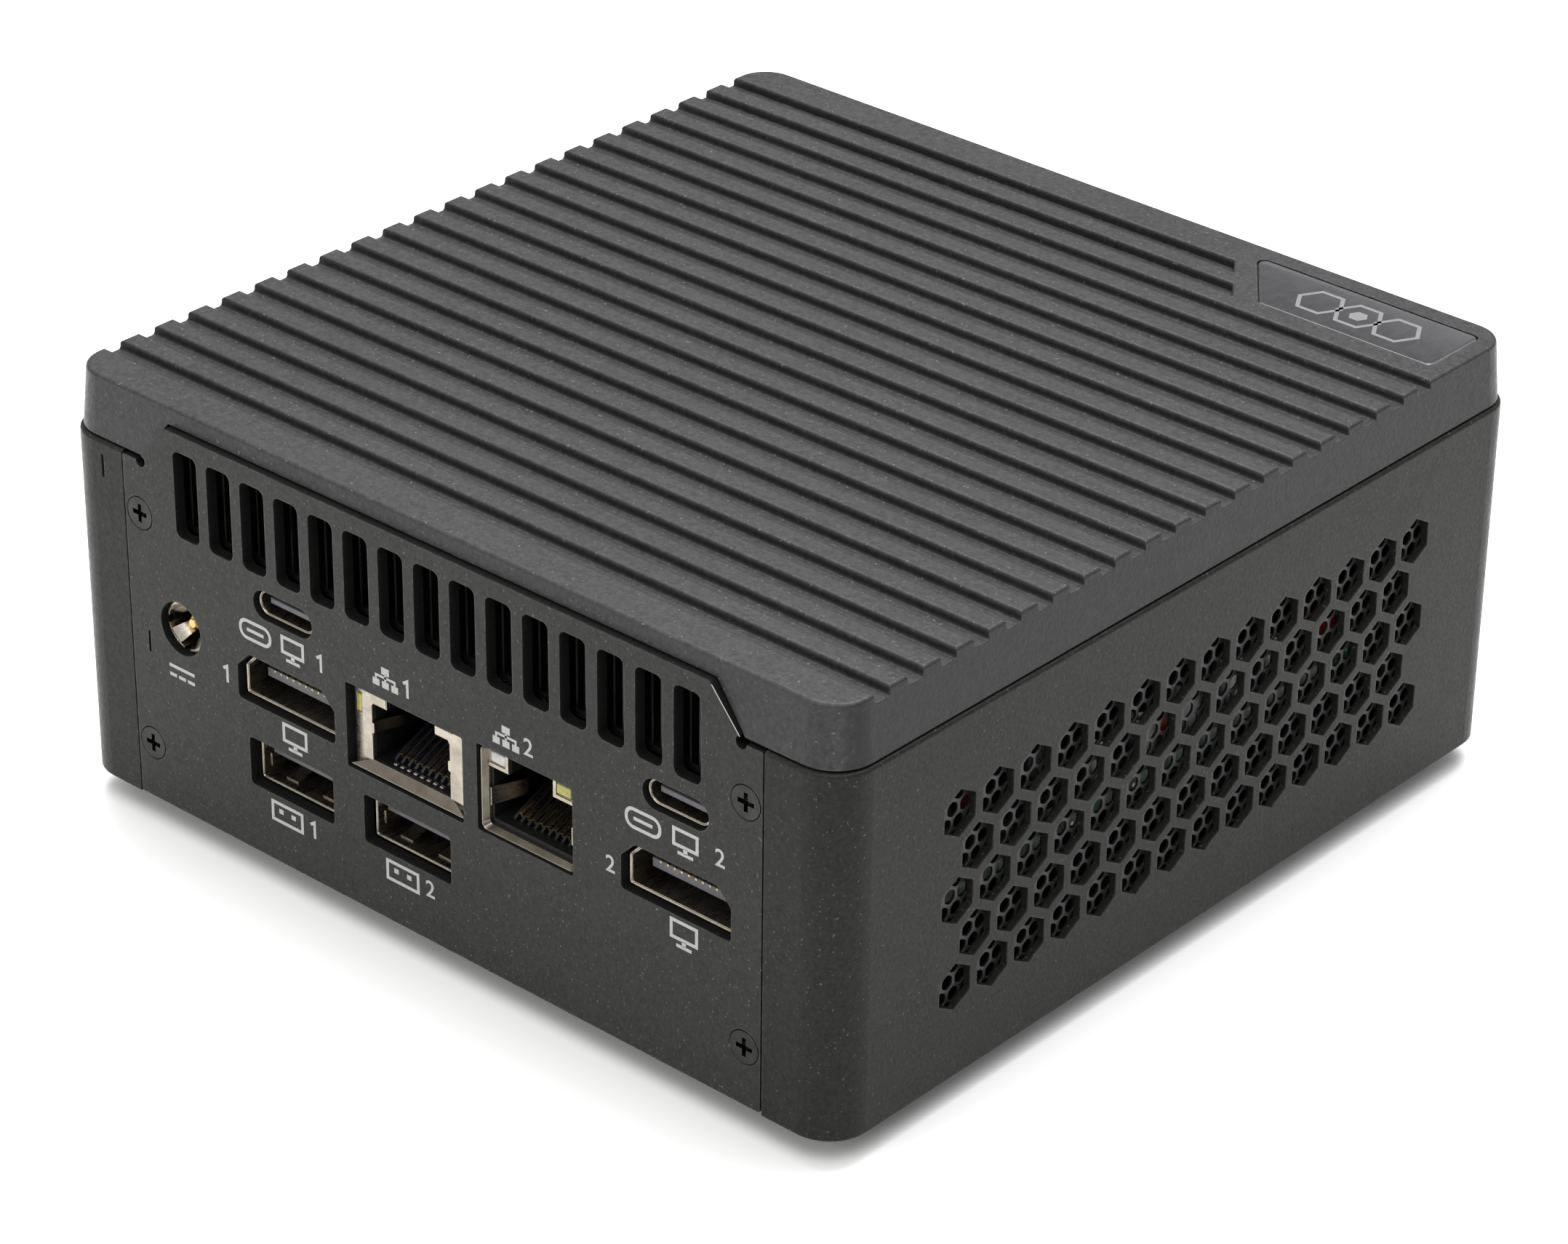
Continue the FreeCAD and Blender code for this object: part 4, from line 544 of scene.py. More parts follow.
def ribbon(bm, path, width, depth, place, closed=False, mat=0):
    """Flat stroke of even width along a 2-D path, with mitred corners."""
    n = len(path)
    L, R = [], []
    for i in range(n):
        p = Vector(path[i])
        if closed or 0 < i < n - 1:
            a = (p - Vector(path[i - 1])).normalized()
            b = (Vector(path[(i + 1) % n]) - p).normalized()
        else:
            a = b = ((Vector(path[1]) - p) if i == 0 else (p - Vector(path[i - 1]))).normalized()
        na, nb = Vector((-a.y, a.x)), Vector((-b.y, b.x))
        k = (na + nb) / max(0.3, 1 + na.dot(nb))
        L.append(tuple(p + k * width / 2))
        R.append(tuple(p - k * width / 2))
    v = [[bm.verts.new(place(*q, 0.0)) for q in L], [bm.verts.new(place(*q, 0.0)) for q in R],
         [bm.verts.new(place(*q, depth)) for q in L], [bm.verts.new(place(*q, depth)) for q in R]]
    m = n if closed else n - 1
    for i in range(m):
        j = (i + 1) % n
        for a, b in ((0, 1), (1, 3), (3, 2), (2, 0)):
            bm.faces.new((v[a][i], v[a][j], v[b][j], v[b][i])).material_index = mat
    if not closed:
        for i in (0, n - 1):
            bm.faces.new((v[0][i], v[1][i], v[3][i], v[2][i])).material_index = mat


def arc(cx, cy, r, a0, a1, n=16):
    return [(cx + r * math.cos(math.radians(a0 + (a1 - a0) * k / n)), cy + r * math.sin(math.radians(a0 + (a1 - a0) * k / n)))
            for k in range(n + 1)]


# ---------------------------------------------------------------------------- side meshes with rounded hexagon holes
PITCH = 6.175 / 3.0
ROWH = PITCH * math.sqrt(3) / 2
ZMID = 11.4 + 2 * 5.35


def build_side_mesh(name, sx, node):
    bm = bmesh.new()
    R = PITCH / math.sqrt(3)
    cells = {}
    for r in range(-9, 10):
        z = ZMID + r * ROWH
        if not 8.95 < z < 35.3:
            continue
        for c in range(-46, 47):
            if (c + r) % 2 == 0:
                continue
            y = c * PITCH / 2
            if abs(y) > 44.0:
                continue
            cells[(c, r)] = (y, z)
    corner = [(math.cos(math.radians(30 + 60 * k)), math.sin(math.radians(30 + 60 * k))) for k in range(6)]
    xo, xi = 57.46, 57.10  # outer and inner faces, mm
    cache = {}

    def vert(x, y, z):
        key = (round(x, 3), round(y, 3), round(z, 3))
        if key not in cache:
            cache[key] = bm.verts.new(Vector((sx * x, y, z + FZ)) * S)
        return cache[key]

    nb = [(2, 0), (1, 1), (-1, 1), (-2, 0), (-1, -1), (1, -1)]
    for (c, r), (y, z) in cells.items():
        outer = []
        for k in range(6):
            a, b = corner[k], corner[(k + 1) % 6]
            outer.append((y + a[0] * R, z + a[1] * R))
            outer.append((y + (a[0] + b[0]) / 2 * R, z + (a[1] + b[1]) / 2 * R))
        # hole: between a hexagon and a circle
        hole = []
        for k in range(12):
            t = math.radians(30 + 30 * k)
            rad = 0.880 if k % 2 == 0 else 0.835
            hole.append((math.cos(t) * rad, math.sin(t) * rad))
        rims = []
        for x, grow in ((xo, 1.045), (xo - 0.07, 1.0), (xi + 0.07, 1.0), (xi, 1.045)):
            rims.append([vert(x, y + p[0] * grow, z + p[1] * grow) for p in hole])
        of = [vert(xo, *p) for p in outer]
        ob = [vert(xi, *p) for p in outer]
        for k in range(12):
            j = (k + 1) % 12
            bm.faces.new((of[k], of[j], rims[0][j], rims[0][k]))
            for a, b in zip(rims, rims[1:]):
                bm.faces.new((a[k], a[j], b[j], b[k]))
            bm.faces.new((rims[3][k], rims[3][j], ob[j], ob[k]))
        for k in range(6):
            # edge k lies between corner k (at 30 + 60 k) and the next, facing the neighbour at 60 + 60 k
            dc, dr = nb[(k + 1) % 6]
            if (c + dc, r + dr) not in cells:
                for q in (2 * k, 2 * k + 1):
                    j = (q + 1) % 12
                    bm.faces.new((of[q], of[j], ob[j], ob[q]))
    o = finish_mesh(name, bm, M["mesh_metal"], smooth=40)
    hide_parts(node)
    return o


build_side_mesh("side_mesh_left", 1, "honeycomb_mesh_left")
build_side_mesh("side_mesh_right", -1, "honeycomb_mesh_right")

# ---------------------------------------------------------------------------- badge plate with a bright chamfered edge
BADGE = round_poly([(-55.1, -55.25), (-23.5, -55.25), (-31.02, -45.5), (-55.1, -45.5)], 0.88, 7)
bm = bmesh.new()
P = on_top(51.45)
rings = [(BADGE, 0.0), (BADGE, 0.40), (inset(BADGE, 0.11), 0.50), (inset(BADGE, 0.22), 0.475)]
vr = [[bm.verts.new(P(u, v, w)) for u, v in pts] for pts, w in rings]
bm.faces.new(vr[0][::-1])
bm.faces.new(vr[-1])
for i, (a, b) in enumerate(zip(vr, vr[1:])):
    for k in range(len(a)):
        j = (k + 1) % len(a)
        f = bm.faces.new((a[k], a[j], b[j], b[k]))
        f.material_index = 1 if i == 1 else 0
badge = finish_mesh("badge_face_plate", bm, [M["badge"], EDGE], smooth=25)
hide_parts("badge_plate")

# generic mark: a row of three hexagons, drawn as fine strokes
bm = bmesh.new()
P = on_top(51.45 + 0.468)
for cx, rr in ((-47.0, 2.9), (-41.6, 2.9), (-36.2, 2.9)):
    hexa = [(cx + rr * math.cos(math.radians(60 * k)), -50.35 + rr * math.sin(math.radians(60 * k))) for k in range(6)]
    ribbon(bm, hexa, 0.5, 0.018, P, closed=True)
hexa = [(-41.6 + 1.2 * math.cos(math.radians(60 * k)), -50.35 + 1.2 * math.sin(math.radians(60 * k))) for k in range(6)]
add_prism(bm, hexa, 0.018, P)
finish_mesh("badge_mark", bm, MARK)

# ---------------------------------------------------------------------------- printed marks on the panels
def digits(text, size, cx, cy, place_y, rear=True):
    """A plain number as thin raised ink."""
    cu = bpy.data.curves.new("digits", "FONT")
    cu.body = text
    cu.size = size
    cu.align_x = "CENTER"
    cu.align_y = "CENTER"
    cu.resolution_u = 4
    cu.extrude = 0.006
    cu.offset = 0.03
    o = bpy.data.objects.new("digits", cu)
    scene.collection.objects.link(o)
    bpy.context.view_layer.update()
    me = bpy.data.meshes.new_from_object(o.evaluated_get(bpy.context.evaluated_depsgraph_get()))
    bpy.data.objects.remove(o)
    bm = bmesh.new()
    bm.from_mesh(me)
    bpy.data.meshes.remove(me)
    for v in bm.verts:
        u, w, d = v.co.x + cx, v.co.y + cy, v.co.z
        v.co = Vector((-u if rear else u, place_y + d if rear else place_y - d, w + FZ)) * S
    return bm


def merge_into(dst, src):
    me = bpy.data.meshes.new("tmp")
    src.to_mesh(me)
    src.free()
    dst.from_mesh(me)
    bpy.data.meshes.remove(me)


YR = 59.2
YV, YC, YA = 58.05, 58.40, 57.65  # mouths of the video, type-C and type-A shells
T = 0.014
P = on_rear(YR - 0.004)
bm = bmesh.new()
# digits by the video sockets, the type-C sockets and the network sockets (u = -x)
for text, size, u, v in (("1", 2.9, -32.5, 21.8), ("2", 2.9, 26.8, 21.8), ("1", 3.0, -3.4, 31.2), ("2", 3.0, 14.9, 31.2),
                         ("1", 3.0, -17.0, 29.1), ("2", 3.0, 42.4, 29.1), ("1", 3.0, -19.1, 6.8), ("2", 3.0, -0.6, 6.8)):
    if text == "1":  # upright with a small flag
        ribbon(bm, [(u - 0.52, v + 0.58), (u + 0.12, v + 1.0), (u + 0.12, v - 1.08)], 0.38, T, P)
    else:
        merge_into(bm, digits(text, size, u, v, YR + 0.003))
# direct-current mark under the power inlet
add_prism(bm, rect(-40.1, 19.3, 4.2, 0.42), T, P)
for k in (-1, 0, 1):
    add_prism(bm, rect(-40.1 + k * 1.5, 18.15, 1.15, 0.42), T, P)


def icon_screen(bm, u, v, w=3.4, h=2.2):
    """Display outline on a stand."""
    ribbon(bm, rect(u, v, w, h), 0.42, T, P, closed=True)
    add_prism(bm, rect(u, v - h / 2 - 0.45, 0.6, 0.6), T, P)
    add_prism(bm, rect(u, v - h / 2 - 0.88, 2.2, 0.4), T, P)


def icon_plug_a(bm, u, v):
    """Front view of a flat plug."""
    ribbon(bm, rect(u, v, 4.8, 2.3), 0.42, T, P, closed=True)
    add_prism(bm, rect(u - 1.0, v + 0.2, 0.7, 0.6), T, P)
    add_prism(bm, rect(u + 1.0, v + 0.2, 0.7, 0.6), T, P)


def icon_pill(bm, u, v):
    """Front view of a rounded plug."""
    ribbon(bm, round_poly(rect(u, v, 4.8, 2.2), 1.0, 6), 0.42, T, P, closed=True)
    add_prism(bm, rect(u, v, 2.7, 0.42), T, P)


def icon_network(bm, u, v):
    """One block linked to three."""
    add_prism(bm, rect(u, v + 0.8, 1.2, 0.9), T, P)
    for k in (-1, 0, 1):
        add_prism(bm, rect(u + k * 1.45, v - 0.9, 1.05, 0.85), T, P)
    ribbon(bm, [(u - 1.45, v - 0.5), (u - 1.45, v), (u + 1.45, v), (u + 1.45, v - 0.5)], 0.3, T, P)
    ribbon(bm, [(u, v + 0.4), (u, v - 0.5)], 0.3, T, P)


for u0, s in ((-22.8, -1), (36.15, 1)):
    icon_pill(bm, u0 - 4.6, 29.0)
    icon_screen(bm, u0 + 1.4, 29.3, 3.3, 1.9)
    icon_screen(bm, u0 + 1.2, 17.9, 3.6, 2.1)
icon_plug_a(bm, -23.4, 6.8)
icon_plug_a(bm, -4.9, 6.8)
icon_network(bm, -6.7, 31.3)
icon_network(bm, 11.6, 31.3)
rear_print = finish_mesh("rear_print", bm, INK)

# at each slanted end of the panel's tab: a black strip as painted shadow in the gap at one, a bright strip as painted
# highlight on the edge at the other
bm = bmesh.new()
ribbon(bm, [(-44.95, 44.8), (-41.08, 49.35)], 0.36, T, P)
ribbon(bm, [(45.0, 44.8), (41.12, 49.35)], 0.13, T, P, mat=1)
finish_mesh("tab_gap_shadow_and_highlight", bm, [GAP_SHADOW_INK, EDGE])

# front panel marks
P = on_front(-YR + 0.004)
bm = bmesh.new()
icon_pill(bm, -28.0, 17.0)
icon_plug_a(bm, -10.0, 15.6)
icon_plug_a(bm, 9.0, 15.6)
# headphones outline beside the round socket
ribbon(bm, arc(24.0, 15.3, 1.3, 200, -20, 14), 0.3, T, P)
add_prism(bm, rect(22.75, 14.5, 0.65, 1.2), T, P)
add_prism(bm, rect(25.25, 14.5, 0.65, 1.2), T, P)
finish_mesh("front_print", bm, INK)
# power mark on the button, rides with it
bm = bmesh.new()
P = on_front(-59.05 + 0.004)
ribbon(bm, arc(37.0, 24.0, 1.9, 125, 415, 30), 0.42, 0.02, P)
ribbon(bm, [(37.0, 24.3), (37.0, 26.5)], 0.42, 0.02, P)
finish_mesh("power_mark", bm, INK, body="button")


# ---------------------------------------------------------------------------- connector details
def leaf(bm, pts, half_w, thick, origin, axis, mat=0):
    """Bent sheet strip. pts are (depth, lift) pairs in mm; axis maps (across, depth, lift) to x, y, z."""
    top, bot = [], []
    for i, (d, h) in enumerate(pts):
        a = Vector(pts[max(0, i - 1)])
        b = Vector(pts[min(len(pts) - 1, i + 1)])
        t = (b - a).normalized()
        n = Vector((-t.y, t.x)) * thick / 2
        hw = half_w[i] if isinstance(half_w, (list, tuple)) else half_w
        top.append([(s * hw, d + n.x, h + n.y) for s in (-1, 1)])
        bot.append([(s * hw, d - n.x, h - n.y) for s in (-1, 1)])
    vt = [[bm.verts.new((Vector(origin) + axis(*q)) * S) for q in row] for row in top]
    vb = [[bm.verts.new((Vector(origin) + axis(*q)) * S) for q in row] for row in bot]
    fs = []
    for i in range(len(pts) - 1):
        fs.append(bm.faces.new((vt[i][0], vt[i][1], vt[i + 1][1], vt[i + 1][0])))
        fs.append(bm.faces.new((vb[i][0], vb[i][1], vb[i + 1][1], vb[i + 1][0])))
        for s in (0, 1):
            fs.append(bm.faces.new((vt[i][s], vt[i + 1][s], vb[i + 1][s], vb[i][s])))
    for i in (0, len(pts) - 1):
        fs.append(bm.faces.new((vt[i][0], vt[i][1], vb[i][1], vb[i][0])))
    for f in fs:
        f.material_index = mat


curve5 = [(-1.2, 0.05), (-2.2, 0.16), (-3.2, 0.5), (-4.2, 0.85), (-5.0, 0.93), (-5.8, 0.80), (-6.6, 0.45)]
bm = bmesh.new()
ports_a = [(22.4, 12.0, 1), (4.0, 12.0, 1), (-10.0, 21.0, -1), (9.0, 21.0, -1)]
for cx, cz, sy in ports_a:
    for dx in (-3.0, 3.0):  # springs on the floor of the shell
        leaf(bm, curve5, [0.95, 0.95, 0.9, 0.8, 0.75, 0.7, 0.65], 0.22, (cx + dx, sy * YA, cz + FZ - 2.5),
             lambda a, d, h, sy=sy: Vector((a, sy * d, h)))
    for s in (-1, 1):  # springs on the side walls
        leaf(bm, [(d * 0.9, h * 0.55) for d, h in curve5], 0.8, 0.2, (cx + s * 6.2, sy * YA, cz + FZ - 0.9),
             lambda a, d, h, sy=sy, s=s: Vector((-s * h, sy * d, a)))
finish_mesh("type_a_springs", bm, M["port_steel"], smooth=50)

bm = bmesh.new()
for cx, cz, sy in ports_a:  # four flat contacts under the tongue
    for dx in (-3.5, -1.0, 1.0, 3.5):
        leaf(bm, [(-1.5, 0.0), (-4.0, -0.12), (-6.5, -0.42), (-8.6, -0.30), (-11.0, 0.0)], 0.5, 0.14,
             (cx + dx, sy * (YA - 0.1), cz + FZ + 0.26), lambda a, d, h, sy=sy: Vector((a, sy * d, h)))
for cx in (22.8, -36.15):  # video tongue contacts, wrapped over its front edge
    for k in range(10):
        x = cx + (k - 4.5) * 1.0
        leaf(bm, [(-4.0, 0.02), (-0.35, 0.02), (0.0, 0.0), (0.03, -0.08), (0.03, -0.26)], 0.14, 0.05,
             (x, 56.56, 23.12 + FZ), lambda a, d, h: Vector((a, d, h)))
for cx, cz, sy in ((22.8, 33.1, 1), (-36.15, 33.1, 1), (-28.0, 20.9, -1)):
    for s in (-1, 1):
        for k in range(12):
            x = cx + (k - 5.5) * 0.5
            leaf(bm, [(-1.5, 0.0), (-3.0, 0.01), (-5.5, 0.0)], 0.13, 0.05, (x, sy * (YC + 0.3), cz + FZ + s * 0.365),
                 lambda a, d, h, sy=sy: Vector((a, sy * d, h)))
finish_mesh("connector_contacts", bm, M["contact_gold"], smooth=40)

# bright plates on the type-C tongues
bm = bmesh.new()
for cx, cz, sy in ((22.8, 33.1, 1), (-36.15, 33.1, 1), (-28.0, 20.9, -1)):
    pts = round_poly(rect(cx, 0.0, 6.4, 0.62), 0.2, 4)
    place = (lambda u, v, w, cz=cz, sy=sy: Vector((u, sy * (YC - 0.6 - 0.02 + w), cz + v + FZ)) * S)
    add_prism(bm, pts, 0.10, place, chamfer=0.04)
finish_mesh("type_c_tongue_tips", bm, M["port_tongue"], smooth=40)

# rolled rims on the port shells
def rim_tube(bm, outline, y_out, sy, r):
    """Half-round rolled lip that follows the shell's mouth."""
    n = len(outline)
    rings = []
    for k in range(7):
        a = math.pi * k / 6
        off, lift = -r * math.cos(a) * 1.0, r * math.sin(a)
        pts = inset(outline, r + off)
        rings.append([bm.verts.new(Vector((u, sy * (y_out - r + lift), v + FZ)) * S) for u, v in pts])
    base = rings[0]
    for a, b in zip(rings, rings[1:]):
        for i in range(n):
            j = (i + 1) % n
            bm.faces.new((a[i], a[j], b[j], b[i]))
    for i in range(n):
        j = (i + 1) % n
        bm.faces.new((rings[-1][i], rings[-1][j], base[j], base[i]))


def video_outline(cx, cz, w, t, c):
    return [(cx - w / 2, cz - t / 2), (cx + w / 2, cz - t / 2), (cx + w / 2, cz + t / 2 - c), (cx + w / 2 - c, cz + t / 2),
            (cx - w / 2 + c, cz + t / 2), (cx - w / 2, cz + t / 2 - c)]


bm = bmesh.new()
for cx in (22.8, -36.15):
    rim_tube(bm, round_poly(video_outline(cx, 22.7, 15.2, 5.7, 1.9), 0.45, 6), YV + 0.15, 1, 0.17)
    rim_tube(bm, round_poly(rect(cx, 33.1, 8.95, 3.2), 1.55, 9), YC + 0.10, 1, 0.10)
for cx in (22.4, 4.0):
    rim_tube(bm, round_poly(rect(cx, 12.0, 13.1, 5.7), 0.45, 6), YA + 0.13, 1, 0.16)
for cx in (-10.0, 9.0):
    rim_tube(bm, round_poly(rect(cx, 21.0, 13.1, 5.7), 0.45, 6), YA + 0.13, -1, 0.16)
rim_tube(bm, round_poly(rect(-28.0, 20.9, 8.95, 3.2), 1.55, 9), YC + 0.13, -1, 0.14)
finish_mesh("port_rims", bm, M["port_steel"], smooth=50)

# power inlet: four sprung lobes round the pin
bm = bmesh.new()
for k in range(4):
    a0 = math.radians(45 + 90 * k)
    c, s = math.cos(a0), math.sin(a0)
    leaf(bm, [(-1.30, 2.74), (-1.62, 2.45), (-2.3, 1.85), (-3.4, 1.42), (-5.4, 1.32), (-7.0, 1.6)],
         [0.95, 0.95, 0.80, 0.62, 0.58, 0.58], 0.24, (39.9, 59.5, 24.7 + FZ),
         lambda a, d, h, c=c, s=s: Vector((c * h - s * a, d, s * h + c * a)))
finish_mesh("power_inlet_springs", bm, M["port_steel"], smooth=50)

# network sockets: combs between the contacts, wire tips, side springs
YJ = 58.05  # front of the sockets' shields
bm = bmesh.new()
for cx, z0, mi in ((4.1, 18.0, 0), (-14.2, 18.0, 1)):
    for k in range(9):
        x = cx + (k - 4) * 1.02
        prof = [(56.6, z0 + 1.12), (49.2, z0 + 1.12), (49.2, z0 + 4.4), (50.4, z0 + 4.2), (56.0, z0 + 1.9), (56.6, z0 + 1.45)]
        add_prism(bm, prof, 0.34, lambda u, v, w, x=x: Vector((x - 0.17 + w, u, v + FZ)) * S, mat=mi)
finish_mesh("network_jack_combs", bm, [BLUE_BLACK, M["port_plastic"]])

bm = bmesh.new()
for k in range(8):
    x = 4.1 + (k - 3.5) * 1.02
    add_prism(bm, round_poly(rect(x, 57.0, 0.52, 0.44), 0.08, 3), 0.16,
              lambda u, v, w: Vector((u, v, 18.0 + 1.06 + FZ + w)) * S, chamfer=0.04)
finish_mesh("network_wire_tips", bm, TIN)

bm = bmesh.new()
for cx, z0, half, zc, wide, mi in ((4.1, 18.0, 6.03, 5.3, 0.75, 1), (-14.2, 18.0, 6.1, 4.05, 1.1, 0)):
    for s in (1, -1):
        leaf(bm, [(0.12, 0.02), (-0.5, 0.10), (-1.5, 0.45), (-2.8, 0.95), (-3.9, 1.30), (-4.3, 1.25)],
             [wide, wide, wide * 0.98, wide * 0.94, wide * 0.9, wide * 0.85], 0.2, (cx + s * half, YJ, z0 + zc + FZ),
             lambda a, d, h, s=s: Vector((-s * h, d, a)), mat=mi)
finish_mesh("network_jack_springs", bm, [M["port_steel"], SHADED_SPRING_METAL], smooth=50)


def funnel(bm, inner, outer, y_in, y_out, t, sides=None, mat=1):
    """Flared sheet lip between an inner outline at y_in and an outer one at y_out."""
    n = len(inner)
    ri = [bm.verts.new(Vector((u, y_in, v + FZ)) * S) for u, v in inner]
    ro = [bm.verts.new(Vector((u, y_out, v + FZ)) * S) for u, v in outer]
    bi = [bm.verts.new(Vector((u, y_in - t, v + FZ)) * S) for u, v in inner]
    bo = [bm.verts.new(Vector((u, y_out - t, v + FZ)) * S) for u, v in outer]
    todo = range(n) if sides is None else sides
    for i in todo:
        j = (i + 1) % n
        for a, b in ((ri, ro), (ro, bo), (bo, bi), (bi, ri)):
            bm.faces.new((a[i], a[j], b[j], b[i])).material_index = mat
    if sides is not None:
        for i in (todo[0], (todo[-1] + 1) % n):
            bm.faces.new((ri[i], ro[i], bo[i], bi[i])).material_index = mat
    for v in [v for v in bm.verts if not v.link_faces]:
        bm.verts.remove(v)


# notched steel faces of the network sockets
bm = bmesh.new()
front = lambda u, v, w: Vector((u, YJ - 0.02 + w, v + FZ)) * S
cx, z0, z1 = 4.1, 18.0, 28.3
for s in (1, -1):
    xi, xo = cx + s * 6.03, cx + s * (7.5 if s > 0 else 8.0)
    side = [(xo, z0 + 1.15), (xo, z1 - 0.3), (cx + s * 3.8, z1 - 0.3), (cx + s * 3.8, z0 + 8.5), (xi - s * 0.3, z0 + 8.5), (xi, z0 + 8.0),
            (xi, z0 + 6.0), (xi - s * 0.3, z0 + 5.85), (xi - s * 0.3, z0 + 4.7), (xi + s * 0.1, z0 + 4.5), (xi, z0 + 4.2), (xi, z0 + 1.15)]
    if s < 0:
        side[2:5] = [(cx - 6.6, z1 - 0.3), (cx - 6.6, z1 - 0.75), (cx - 3.8, z1 - 0.75), (cx - 3.8, z0 + 8.5), (xi + 0.3, z0 + 8.5)]
    add_prism(bm, side, 0.16, front, chamfer=0.04)
funnel(bm, [(cx + 6.2, z0 + 1.18), (cx - 6.2, z0 + 1.18)], [(cx + 8.72, z0 + 0.12), (cx - 8.72, z0 + 0.12)], YJ, 58.95, 0.16, sides=[0])
# second socket: thin flared mouth and framed windows
cx, z1 = -14.2, 28.5
inner = [(cx - 6.42, z0 + 0.48), (cx + 6.42, z0 + 0.48), (cx + 6.42, z1 - 0.25), (cx - 6.42, z1 - 0.25)]
outer = [(cx - 6.92, z0 + 0.04), (cx + 6.92, z0 + 0.04), (cx + 6.92, z1 - 0.04), (cx - 6.92, z1 - 0.04)]
inner, outer = round_poly(inner, 0.5, 4), round_poly(outer, 0.7, 4)
funnel(bm, inner, outer, YJ - 0.02, 58.75, 0.14)
for s in (1, -1):
    ribbon(bm, [(cx + s * 6.28, z0 + 8.15), (cx + s * 3.55, z0 + 8.15), (cx + s * 3.55, z1 - 0.3)], 0.42, 0.2, front)
finish_mesh("network_jack_faces", bm, [M["port_steel"], LIP])

# lens fronts: tinted and clear windows with a domed face
bm = bmesh.new()
for (x, z, w, h, mi) in ((4.1 + 7.9, 25.83, 0.84, 2.3, 0), (-14.2 + 4.85, 27.2, 2.15, 1.3, 1), (-14.2 - 4.85, 27.2, 2.15, 1.3, 0)):
    add_prism(bm, round_poly(rect(x, z, w, h), 0.2, 4), 0.26, lambda u, v, q: Vector((u, 57.93 + q, v + FZ)) * S,
              mat=mi, chamfer=0.10)
finish_mesh("indicator_lenses", bm, [M["jack_light"], CLEAR], smooth=40)

# foam strip that closes the corner between the exhaust and the left vents
bm = bmesh.new()
add_prism(bm, round_poly(rect(48.0, 25.0, 14.0, 14.0), 0.8, 4), 0.4, lambda u, v, w: Vector((51.4 + w, u, v + FZ)) * S, chamfer=0.1)
finish_mesh("corner_seal", bm, M["chip_black"])
# foam strip behind the seam between the cover and the front panel
bm = bmesh.new()
add_prism(bm, rect(0.0, 43.6, 93.0, 2.1), 0.5, lambda u, v, w: Vector((u, -57.2 + w, v + FZ)) * S, chamfer=0.08)
finish_mesh("front_seam_strip", bm, M["chip_black"])

# ---------------------------------------------------------------------------- small parts on the mainboard
verts, polys = [], []
for n in NODES:
    if n in ("top_cover", "blower_cover", "blower_housing", "fan_rotor", "honeycomb_mesh_left", "honeycomb_mesh_right"):
        continue
    me = NODES[n].data
    base = len(verts)
    verts.extend([v.co.copy() for v in me.vertices])
    polys.extend([[base + i for i in p.vertices] for p in me.polygons])
tree = BVHTree.FromPolygons(verts, polys)
rng = random.Random(7)
TOP = 17.3 + FZ


def free(x, y, hx, hy, h):
    for dx in (-1, -0.5, 0, 0.5, 1):
        for dy in (-1, -0.5, 0, 0.5, 1):
            hit = tree.ray_cast(Vector((x + dx * (hx + 0.3), y + dy * (hy + 0.3), TOP + h + 0.4)) * S, Vector((0, 0, -1)))
            if hit[0] is None or abs(hit[0].z / S - TOP) > 0.02:
                return False
    return True


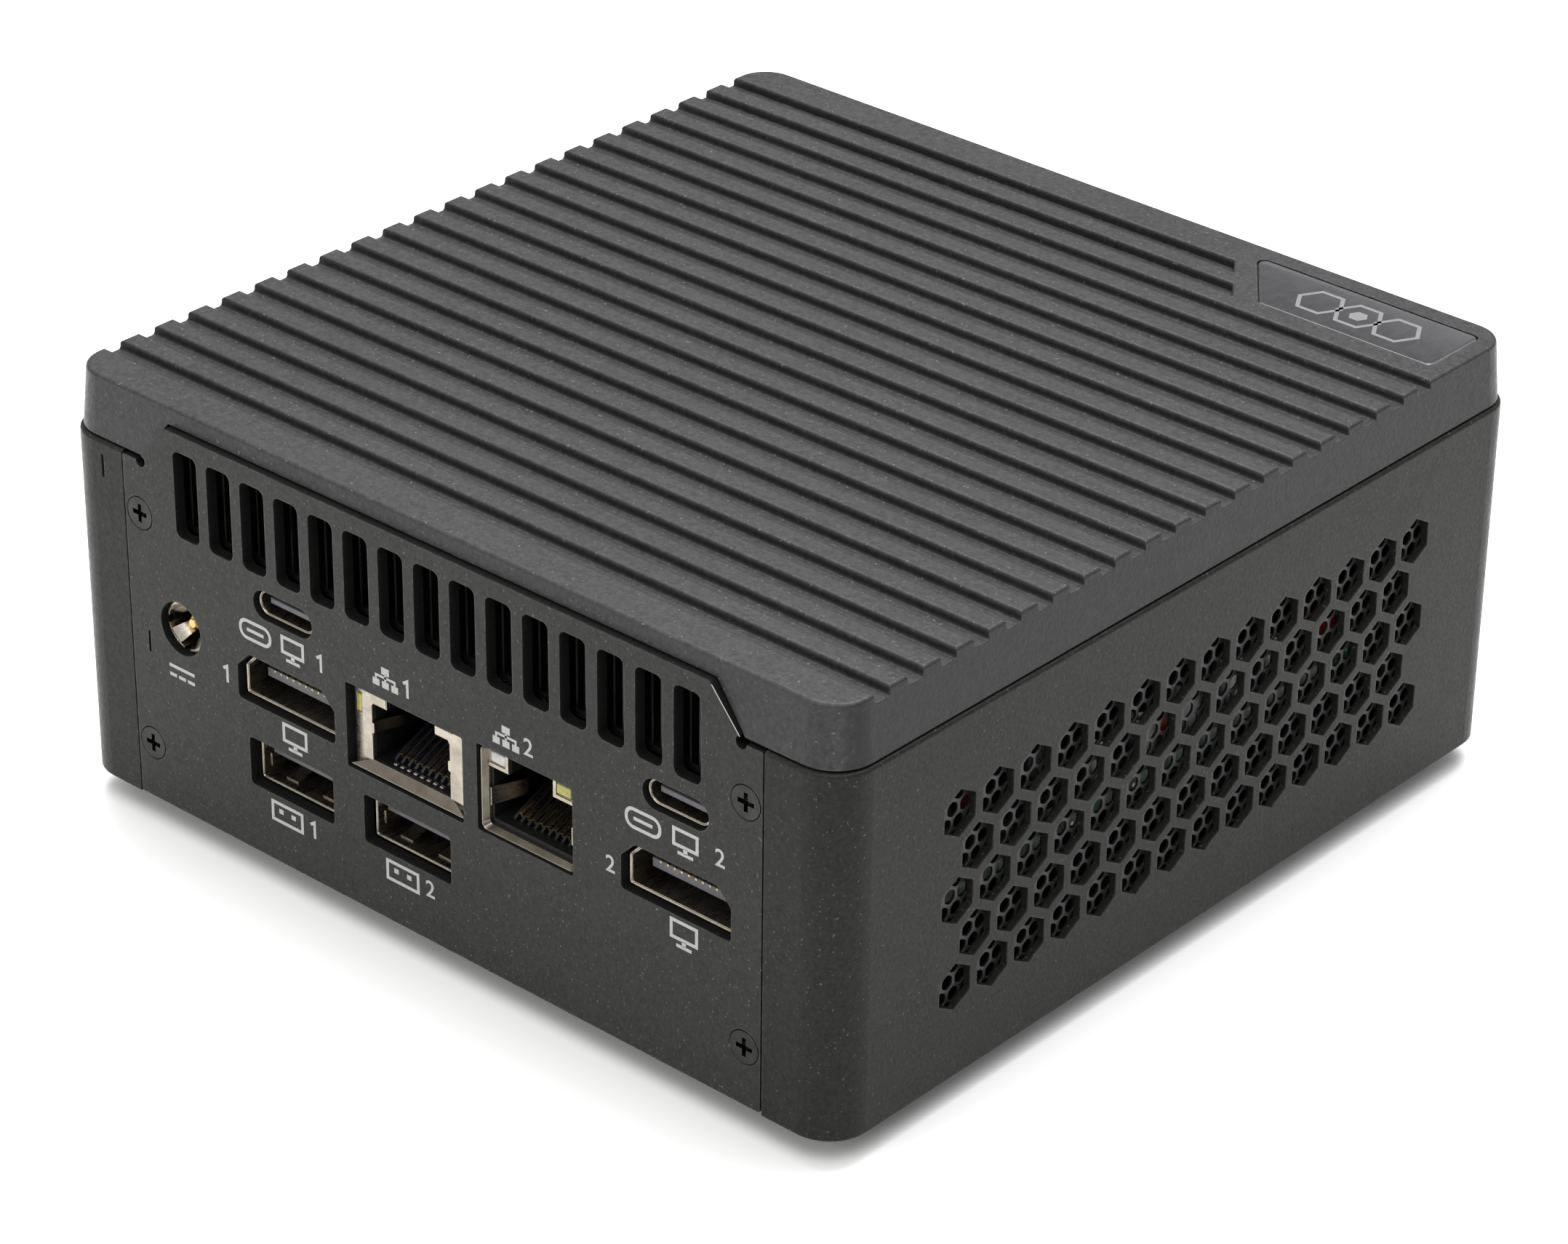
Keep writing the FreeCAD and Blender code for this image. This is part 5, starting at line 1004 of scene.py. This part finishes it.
bm = bmesh.new()
placed = []
kinds = [(1.6, 0.8, 0.8, 3), (1.0, 0.5, 0.5, 3), (2.0, 1.2, 0.6, 0), (3.0, 3.0, 0.9, 0), (5.0, 4.0, 1.1, 0), (1.6, 0.8, 0.45, 0),
         (3.2, 1.6, 1.4, 3), (4.0, 4.0, 1.0, 0), (6.5, 3.2, 4.2, 0), (4.5, 2.2, 3.6, 4)]
tries = 0
while len(placed) < 330 and tries < 5200:
    tries += 1
    w, d, h, mi = kinds[min(int(rng.random() ** 1.7 * len(kinds)), len(kinds) - 1)]
    if rng.random() < 0.5:
        w, d = d, w
    if rng.random() < 0.62:
        x = rng.choice((-1, 1)) * rng.uniform(37.0, 50.6 - w / 2)
    else:
        x = rng.uniform(-37, 37)
    y = rng.uniform(-52, 53)
    if any(abs(x - a) < (w + c) / 2 + 0.35 and abs(y - b) < (d + e) / 2 + 0.35 for a, b, c, e in placed):
        continue
    if not free(x, y, w / 2, d / 2, h):
        continue
    placed.append((x, y, w, d))
    add_prism(bm, rect(x, y, w, d), h + 0.02, lambda u, v, q: Vector((u, v, TOP - 0.02 + q)) * S, mat=mi, chamfer=min(w, d, h) * 0.12)
    if mi == 0 and w > 2.5:  # leads along two sides
        for s in (-1, 1):
            k = int(d / 0.65)
            for i in range(k):
                yy = y + (i - (k - 1) / 2) * 0.65
                add_prism(bm, rect(x + s * (w / 2 + 0.2), yy, 0.4, 0.28), 0.25, lambda u, v, q: Vector((u, v, TOP - 0.02 + q)) * S, mat=1)
    elif mi == 3:
        for s in (-1, 1):
            add_prism(bm, rect(x + s * (w / 2 - 0.12), y, 0.22, d + 0.04) if w > d else rect(x, y + s * (d / 2 - 0.12), w + 0.04, 0.22),
                      h + 0.04, lambda u, v, q: Vector((u, v, TOP - 0.02 + q)) * S, mat=1)
finish_mesh("board_components", bm, [M["chip_black"], DULL, M["port_plastic"], CERAMIC, RED])

# ---------------------------------------------------------------------------- floor
bm = bmesh.new()
bmesh.ops.create_grid(bm, x_segments=8, y_segments=8, size=3.0)
me = bpy.data.meshes.new("floor")
bm.to_mesh(me)
bm.free()
fm = Mat("floor_paper")
fm.co = fm.n("ShaderNodeTexCoord").outputs["Object"]
fc = fm.mix(fm.ramp(fm.noise(60.0, 3), 0.3, 0.7), (0.86, 0.86, 0.86), (0.875, 0.875, 0.872))
fm.set(Base_Color=fc, Roughness=fm.ramp(fm.noise(1.5, 3), 0.3, 0.7, 0.72, 0.82))
fm.b.inputs["Specular IOR Level"].default_value = 0.2
fm.bump(fm.noise(0.8, 3), 0.01)
me.materials.append(fm.done())
floor = bpy.data.objects.new("floor", me)
scene.collection.objects.link(floor)
